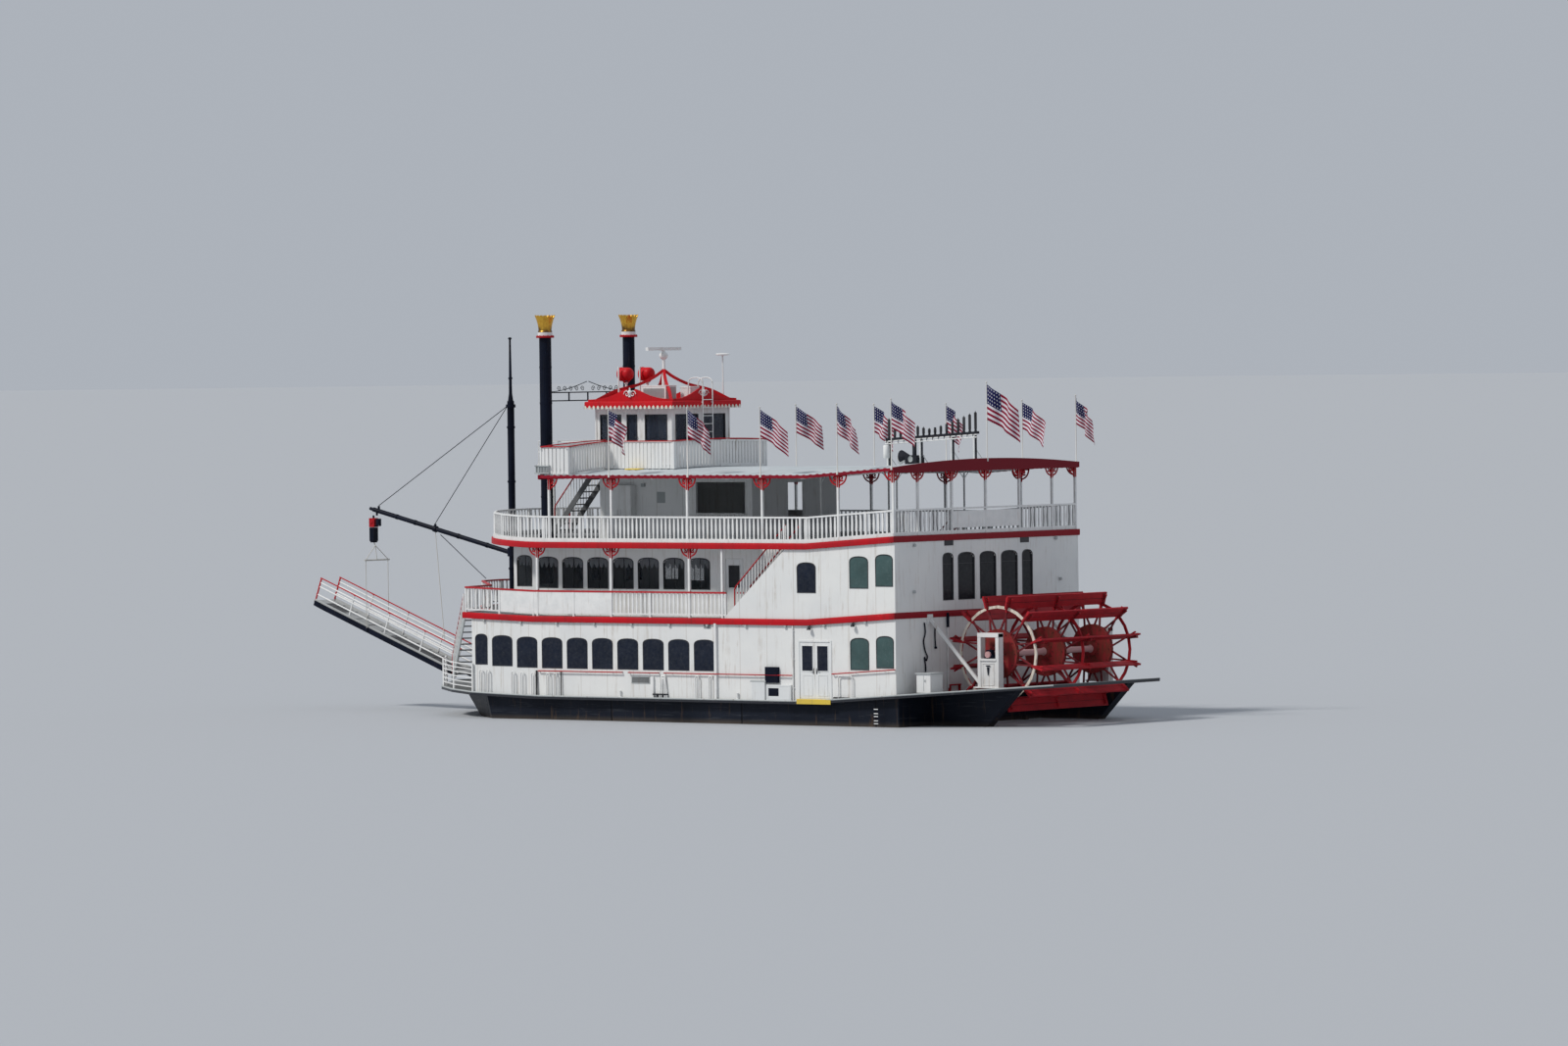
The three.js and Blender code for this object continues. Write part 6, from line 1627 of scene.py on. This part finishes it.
def flight(name, foot, head, width, steps, low=0.05, high=0.97, hand=1, deep=0.10, paint=tread_grey,
        grip_r=0.026):
    """One flight, worked out from its foot and head on its centre line, on either side of the boat.
    Its stringers, handrails and balusters run from the share low to the share high of the way up."""
    foot = np.array(foot, float) * [1, hand, 1]
    head = np.array(head, float) * [1, hand, 1]
    way_up = head - foot
    run = unit(way_up * [1, 1, 0])
    side = np.array([-run[1], run[0], 0])
    stringers, treads, rails, bars = [], [], [], []
    for way in (1, -1):
        shift = side * way * (width / 2 - 0.02)
        ends = np.array([foot + way_up * low, foot + way_up * high]) + shift
        stringers.append(swept(ends, oblong(0.02, -deep, deep)))
        t = np.array([low + 0.02, 0.5, high - 0.03])
        grip = foot + way_up * t[:, None] + shift + [0, 0, 0.9]
        newel = [grip[0] - [0, 0, 0.80], grip[0] - [0, 0, 0.06], grip[0] + (grip[1] - grip[0]) * 0.05]
        rails.append(pipe(np.array(newel + [grip[1], grip[2]]), grip_r, up=tuple(side)))
        count = int(np.linalg.norm(way_up[:2]) / 0.15)
        share = np.linspace(low + 0.07, high - 0.05, count)[:, None]
        upright = cut_board(oblong(0.011, 0.08, 0.885), -0.011, 0.011)
        bars.append(copies(upright, foot + way_up * share + shift))
        top_post = cut_board(oblong(0.022, 0.05, 0.9), -0.022, 0.022)
        bars.append(copies(top_post, foot + way_up * (high - 0.03) + shift))
    for k in range(1, steps + 1):
        centre = foot + way_up * k / (steps + 1)
        across_it, forward = side * (width / 2 - 0.045), run * 0.125
        corners = np.array([-across_it - forward, across_it - forward, across_it + forward,
            forward - across_it])
        treads.append(cut_board(corners[:, :2] + centre[:2], centre[2] - 0.02, centre[2] + 0.02, "z"))
    made = piece(name + "_stringers", stringers, paint)
    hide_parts(name)
    piece(name + "_treads", treads, tread_grey)
    piece(name + "_handrails", rails, trim_red)
    piece(name + "_balusters", bars, rail_white)


bow_foot = (11.85, 3.02, main_deck_z + lift(11.85))
bow_head = (10.16, 4.19, second_deck_z - 0.12 + lift(10.16))
for name, hand in sides:
    flight("side_stair_" + name, (-2.51, 4.73, second_deck_z), (-5.2, 4.73, top_deck_z - 0.1), 0.88, 11,
        hand=hand)
    flight("bow_stair_" + name, bow_foot, bow_head, 0.90, 11, hand=hand, deep=0.14, paint=grey_paint,
        grip_r=0.018)
flight("pilot_stair", (9.2, 0.6, top_deck_z + lift(9.2)), (6.99, 0.6, 10.01), 0.90, 10)
toe = np.array([[-0.012, 0.0], [0.0, 0.0], [0.0, 0.13], [-0.012, 0.13]])
inset = np.maximum(top_half - [0, 0.07], [-99, 0])
inset[0, 0] = -9.94
inset[-3:, 0] -= 0.06
piece("top_deck_toe_boards", [swept(edge_line(inset, top_deck_z + 0.002), toe, True)], rail_white)


# Along the main deck: red pipe rails on the cabin wall, fender rails, bitts and bollards on the guard,
# deck lockers, downpipes, vents and the small lamps that hang under the deck above.
rail_z, rail_out = main_deck_z + 0.885, wall_y + 0.085
to_wall = [0.0, -0.075, 0.0]
pipes, holders = [], []
for x0, x1 in ((6.2, 2.33), (2.0, 0.65), (0.36, -5.42), (-7.24, -9.96)):
    x = np.linspace(x0, x1, 9)
    line = columns(x, rail_out, rail_z + lift(x))
    pipes.append(pipe(np.concatenate([line[:1] + to_wall, line, line[-1:] + to_wall]), 0.021))
    for x in np.arange(x1 + 0.4, x0 - 0.2, 1.25):
        z = rail_z + lift(x)
        holders.append(pipe([[x, wall_y - 0.004, z - 0.05], [x, wall_y + 0.07, z - 0.05],
            [x, rail_out, z - 0.02]], 0.009, 6, up=(1, 0, 0)))
piece("wall_pipe_rails", both(pipes), trim_red)
loops = []
for x0, x1 in [(x + 0.075, x - 0.075) for x in (8.92, 8.60, 7.40, 6.97, 6.46, 5.76, 5.42, -1.14, -1.75)] + [
        (-7.5, -8.12)]:
    loop = np.array([[x0, 0, 0], [x0, 0, 0.75], [x0 - 0.045, 0, 0.81], [x1 + 0.045, 0, 0.81], [x1, 0, 0.75],
        [x1, 0, 0]])
    loops.append(pipe(loop + [0, 5.405, main_deck_z + lift(x0) + 0.002], 0.022, up=(0, 1, 0)))
holders.append(blocks([on_wall(-2.03, -1.93, main_deck_z + 0.01, second_deck_z - 0.14, 0.085),
    on_wall(0.87, 1.01, main_deck_z + 0.01, 2.62, 0.07)]))
pipe_x = -5.46
holders.append(pipe([[pipe_x, wall_y + 0.032, main_deck_z + 0.01],
    [pipe_x, wall_y + 0.032, second_deck_z - 0.16]], 0.03, up=(1, 0, 0)))
holders += [blocks([on_wall(pipe_x - 0.05, pipe_x + 0.05, z, z + 0.03, 0.04)]) for z in (2.3, 3.3, 4.3)]
bitt_rows = [[0.10, 0.0], [0.10, 0.02], [0.05, 0.03], [0.045, 0.17], [0.06, 0.20], [0.062, 0.23],
    [0.0, 0.245]]
for x in (2.41, -2.96):
    loops.append(turned((x, 5.385, main_deck_z + 0.002), np.array(bitt_rows) * [0.6, 1], 14))
hoop_x = 0.42
for spread, high in ((0.17, 0.78), (0.07, 0.70)):
    hoop = np.array([[spread, 5.40, 0], [spread * 0.45, 5.385, high], [-spread * 0.45, 5.385, high],
        [-spread, 5.40, 0]])
    loops.append(pipe(hoop + [hoop_x, 0, main_deck_z], 0.028, up=(0, 1, 0)))
piece("guard_fender_rails", both(loops), rail_white)
piece("wall_downpipes", both(holders), rail_white)
poles = [pipe([[x, 5.40, main_deck_z + 0.002], [x + 0.02, 5.38, main_deck_z + 0.9]], r, up=(1, 0, 0))
    for x, r in ((6.30, 0.032), (5.15, 0.022))]
vents, vent_shade_plates = [], []
for x0, x1, z0, z1 in ((1.07, 1.92, 2.37, 2.62), (-1.74, -1.43, 4.36, 4.50)):
    vents.append(blocks([on_wall(x0, x1, z0, z0 + 0.025, 0.018), on_wall(x0, x1, z1 - 0.025, z1, 0.018),
        on_wall(x0, x0 + 0.025, z0, z1, 0.018), on_wall(x1 - 0.025, x1, z0, z1, 0.018)]))
    # Painted shade: a dark plate behind the blades stands for the shadow in the vent's openings.
    vent_shade_plates.append(blocks([on_wall(x0, x1, z0, z1, 0.006, 0.001)]))
    vents.append(blocks([on_wall(x0 + 0.02, x1 - 0.02, z, z + 0.012, 0.016, 0.004)
        for z in np.arange(z0 + 0.045, z1 - 0.03, 0.035)]))
lamp_x = (8.79, 7.05, 5.36, 3.6, 1.875, 0.13, -1.6, -3.35, -5.13, -6.875, -8.7)
lamps = blocks([on_wall(x - 0.05, x + 0.05, second_deck_z - 0.29 + lift(x), second_deck_z - 0.18 + lift(x),
    0.07) for x in lamp_x])
piece("wall_vents", both(vents + [lamps]), grey_paint, bevel=0.003)
hoods = []
for x in (-6.25, -8.2):
    z = second_deck_z - 0.36 + lift(x)
    hood = [[0.0, 0.0], [0.035, 0.0], [0.04, -0.03], [0.075, -0.10], [0.08, -0.13], [0.06, -0.125],
        [0.0, -0.06]]
    hoods.append(turned((x, wall_y + 0.12, z + 0.13), hood, 12))
    hoods.append(pipe([[x, wall_y - 0.003, z + 0.06], [x, wall_y + 0.06, z + 0.16],
        [x, wall_y + 0.12, z + 0.12]], 0.012, 6, up=(1, 0, 0)))
piece("wall_dark_fittings", both(poles + vent_shade_plates + hoods), frame_paint)

cases = [on_wall(-4.82, -4.24, 2.48, 3.04, 0.1)]
white_cases = [on_wall(-4.24, -3.64, main_deck_z + 0.005, 2.50, 0.115),
    on_wall(-5.40, -4.30, main_deck_z + 0.005, 2.42, 0.11)]
case_lines = [on_wall(-5.36, -5.34, 1.92, 2.38, 0.116, 0.108),
    on_wall(-4.36, -4.34, 1.92, 2.38, 0.116, 0.108), on_wall(-5.36, -4.34, 1.92, 1.94, 0.116, 0.108),
    on_wall(-5.36, -4.34, 2.36, 2.38, 0.116, 0.108)]
piece("deck_cases", [blocks(white_cases + case_lines)], door_paint, bevel=0.008)
dark_rows = cases + [on_wall(-4.86, -4.40, 2.02, 2.30, 0.113, 0.105)]
dark_rows += [on_wall(-4.80, -4.26, z, z + 0.012, 0.106, 0.1) for z in np.arange(2.56, 2.98, 0.05)]
piece("deck_case_vents", [blocks(dark_rows)], iron, bevel=0.004)
piece("deck_case_top", [blocks([on_wall(-4.28, -3.58, 2.50, 2.56, 0.118)])], grey_paint, bevel=0.006)
piece("door_sill",
    both([blocks([[-7.19, -5.67, wall_y + 0.003, 5.449, main_deck_z + 0.003, main_deck_z + 0.065],
    [-7.19, -5.67, 5.452, 5.466, main_deck_z - 0.11, main_deck_z + 0.065]])]), mat_paint, bevel=0.006)
marks = blocks([[-9.28, -9.1, 5.452, 5.4565, z, z + w]
    for z, w in ((1.12, 0.03), (1.22, 0.03), (1.37, 0.03), (1.47, 0.03), (1.62, 0.03))])
piece("draught_marks", both([marks]), rail_white)


# Deckhouse and the stern wall: a steel cupboard and a louvre on the deckhouse sides, counters in its
# serving bays, and hoses, vents, lamps and a pipe on the wall ahead of the wheel.
house_wall = enamel("deckhouse_paint", (0.80, 0.80, 0.79), (0.68, 0.69, 0.69), (0.26, 0.2, 0.14), 0.45, 0.4,
    joints=1.2)
coat(["deckhouse", "aft_locker"], house_wall)
coat(["engine"], enamel("engine_paint", (0.06, 0.10, 0.08), (0.1, 0.13, 0.1), (0.03, 0.02, 0.02), 0.4, 0.8))
house_y = 2.5
from_wall = [0, 0, house_y, house_y, 0, 0]
cupboard = [[3.95, 5.05, 0, 0.32, top_deck_z + 0.02, 9.36],
    [4.48, 4.5, 0.32, 0.328, top_deck_z + 0.1, 9.28], [4.40, 4.42, 0.32, 0.345, 8.3, 8.5],
    [4.56, 4.58, 0.32, 0.345, 8.3, 8.5]]
bay = [[-1.15, 1.23, -0.01, 0.02, 8.24, 8.32], [-1.15, 1.23, -0.01, 0.02, 9.47, 9.53],
    [-1.15, -1.09, -0.01, 0.02, 8.32, 9.47], [1.17, 1.23, -0.01, 0.02, 8.32, 9.47],
    [-1.12, 1.2, -0.35, 0.22, 8.325, 8.36]]
piece("deckhouse_trim", both([blocks(np.array(cupboard + bay) + from_wall)]), house_wall, bevel=0.006)
louvre = [[2.60, 2.98, 0.001, 0.008, 8.72, 9.12]]
louvre += [[2.62, 2.96, 0.006, 0.022, z, z + 0.014] for z in np.arange(8.75, 9.1, 0.04)]
louvre += [[3.52, 3.68, 0.001, 0.06, 9.30, 9.42]]
piece("deckhouse_louvre", both([blocks(np.array(louvre) + from_wall)]), grey_paint)
hose_one = [(3.74, 4.60), (3.70, 4.25), (3.80, 3.95), (3.72, 3.62), (3.60, 3.42), (3.66, 3.28),
    (3.76, 3.38), (3.70, 3.0), (3.76, 2.5)]
hose_two = [(3.13, 4.50), (3.15, 4.1), (3.12, 3.72)]
hoses = [pipe(through([[stern_x - 0.045, y, z] for y, z in line], 5), 0.026, up=(1, 0, 0))
    for line in (hose_one, hose_two)]
hoses.append(pipe([[stern_x - 0.06, 2.42, 4.90], [stern_x - 0.06, 2.42, 4.40]], 0.05, 10, up=(1, 0, 0)))
hoses.append(turned((stern_x - 0.05, 3.12, 3.66),
    [[0.0, 0.0], [0.045, 0.01], [0.05, 0.06], [0.03, 0.09], [0.0, 0.09]], 10))
piece("stern_hoses", hoses, iron)
piece("stern_pipe", [pipe([[stern_x - 0.05, 2.42, 4.40], [stern_x - 0.05, 2.42, 2.28]], 0.03,
    up=(1, 0, 0))], rail_white)
vent_rows = [[stern_x - 0.02, stern_x + 0.001, y - 0.25, y + 0.25, stern_base + 2.28, stern_base + 2.48]
    for y in (2.25, -2.15)]
piece("stern_vents", [blocks(vent_rows)], frame_paint, bevel=0.004)
lamp = [[0.0, -0.05], [0.05, -0.04], [0.055, 0.0], [0.05, 0.05], [0.0, 0.07]]
fittings = [turned((stern_x - 0.06, y, z), lamp, 12) for y, z in ((4.25, 7.30), (-3.95, 7.35), (4.3, 5.68),
    (-4.2, 5.9))]
piece("stern_lamps", fittings, grey_paint)
step_z = main_deck_z + lift(-10.1)
piece("well_step",
    [blocks([[-10.11, -10.012, 1.75, 2.4, step_z + 0.22, step_z + 0.26],
    [-10.11, -10.012, 1.78, 1.81, step_z, step_z + 0.22],
    [-10.11, -10.012, 2.34, 2.37, step_z, step_z + 0.22]])], trim_red)
locker_z = main_deck_z + lift(-11.05)
locker_rows = [[-11.09, -10.41, 4.01, 4.79, 0.65, 0.69], [-10.77, -10.75, 4.745, 4.758, 0.06, 0.6],
    [-10.84, -10.80, 4.75, 4.775, 0.38, 0.46]]
piece("locker_trim", [blocks(np.array(locker_rows) + [0, 0, 0, 0, locker_z, locker_z])], grey_paint,
    bevel=0.004)
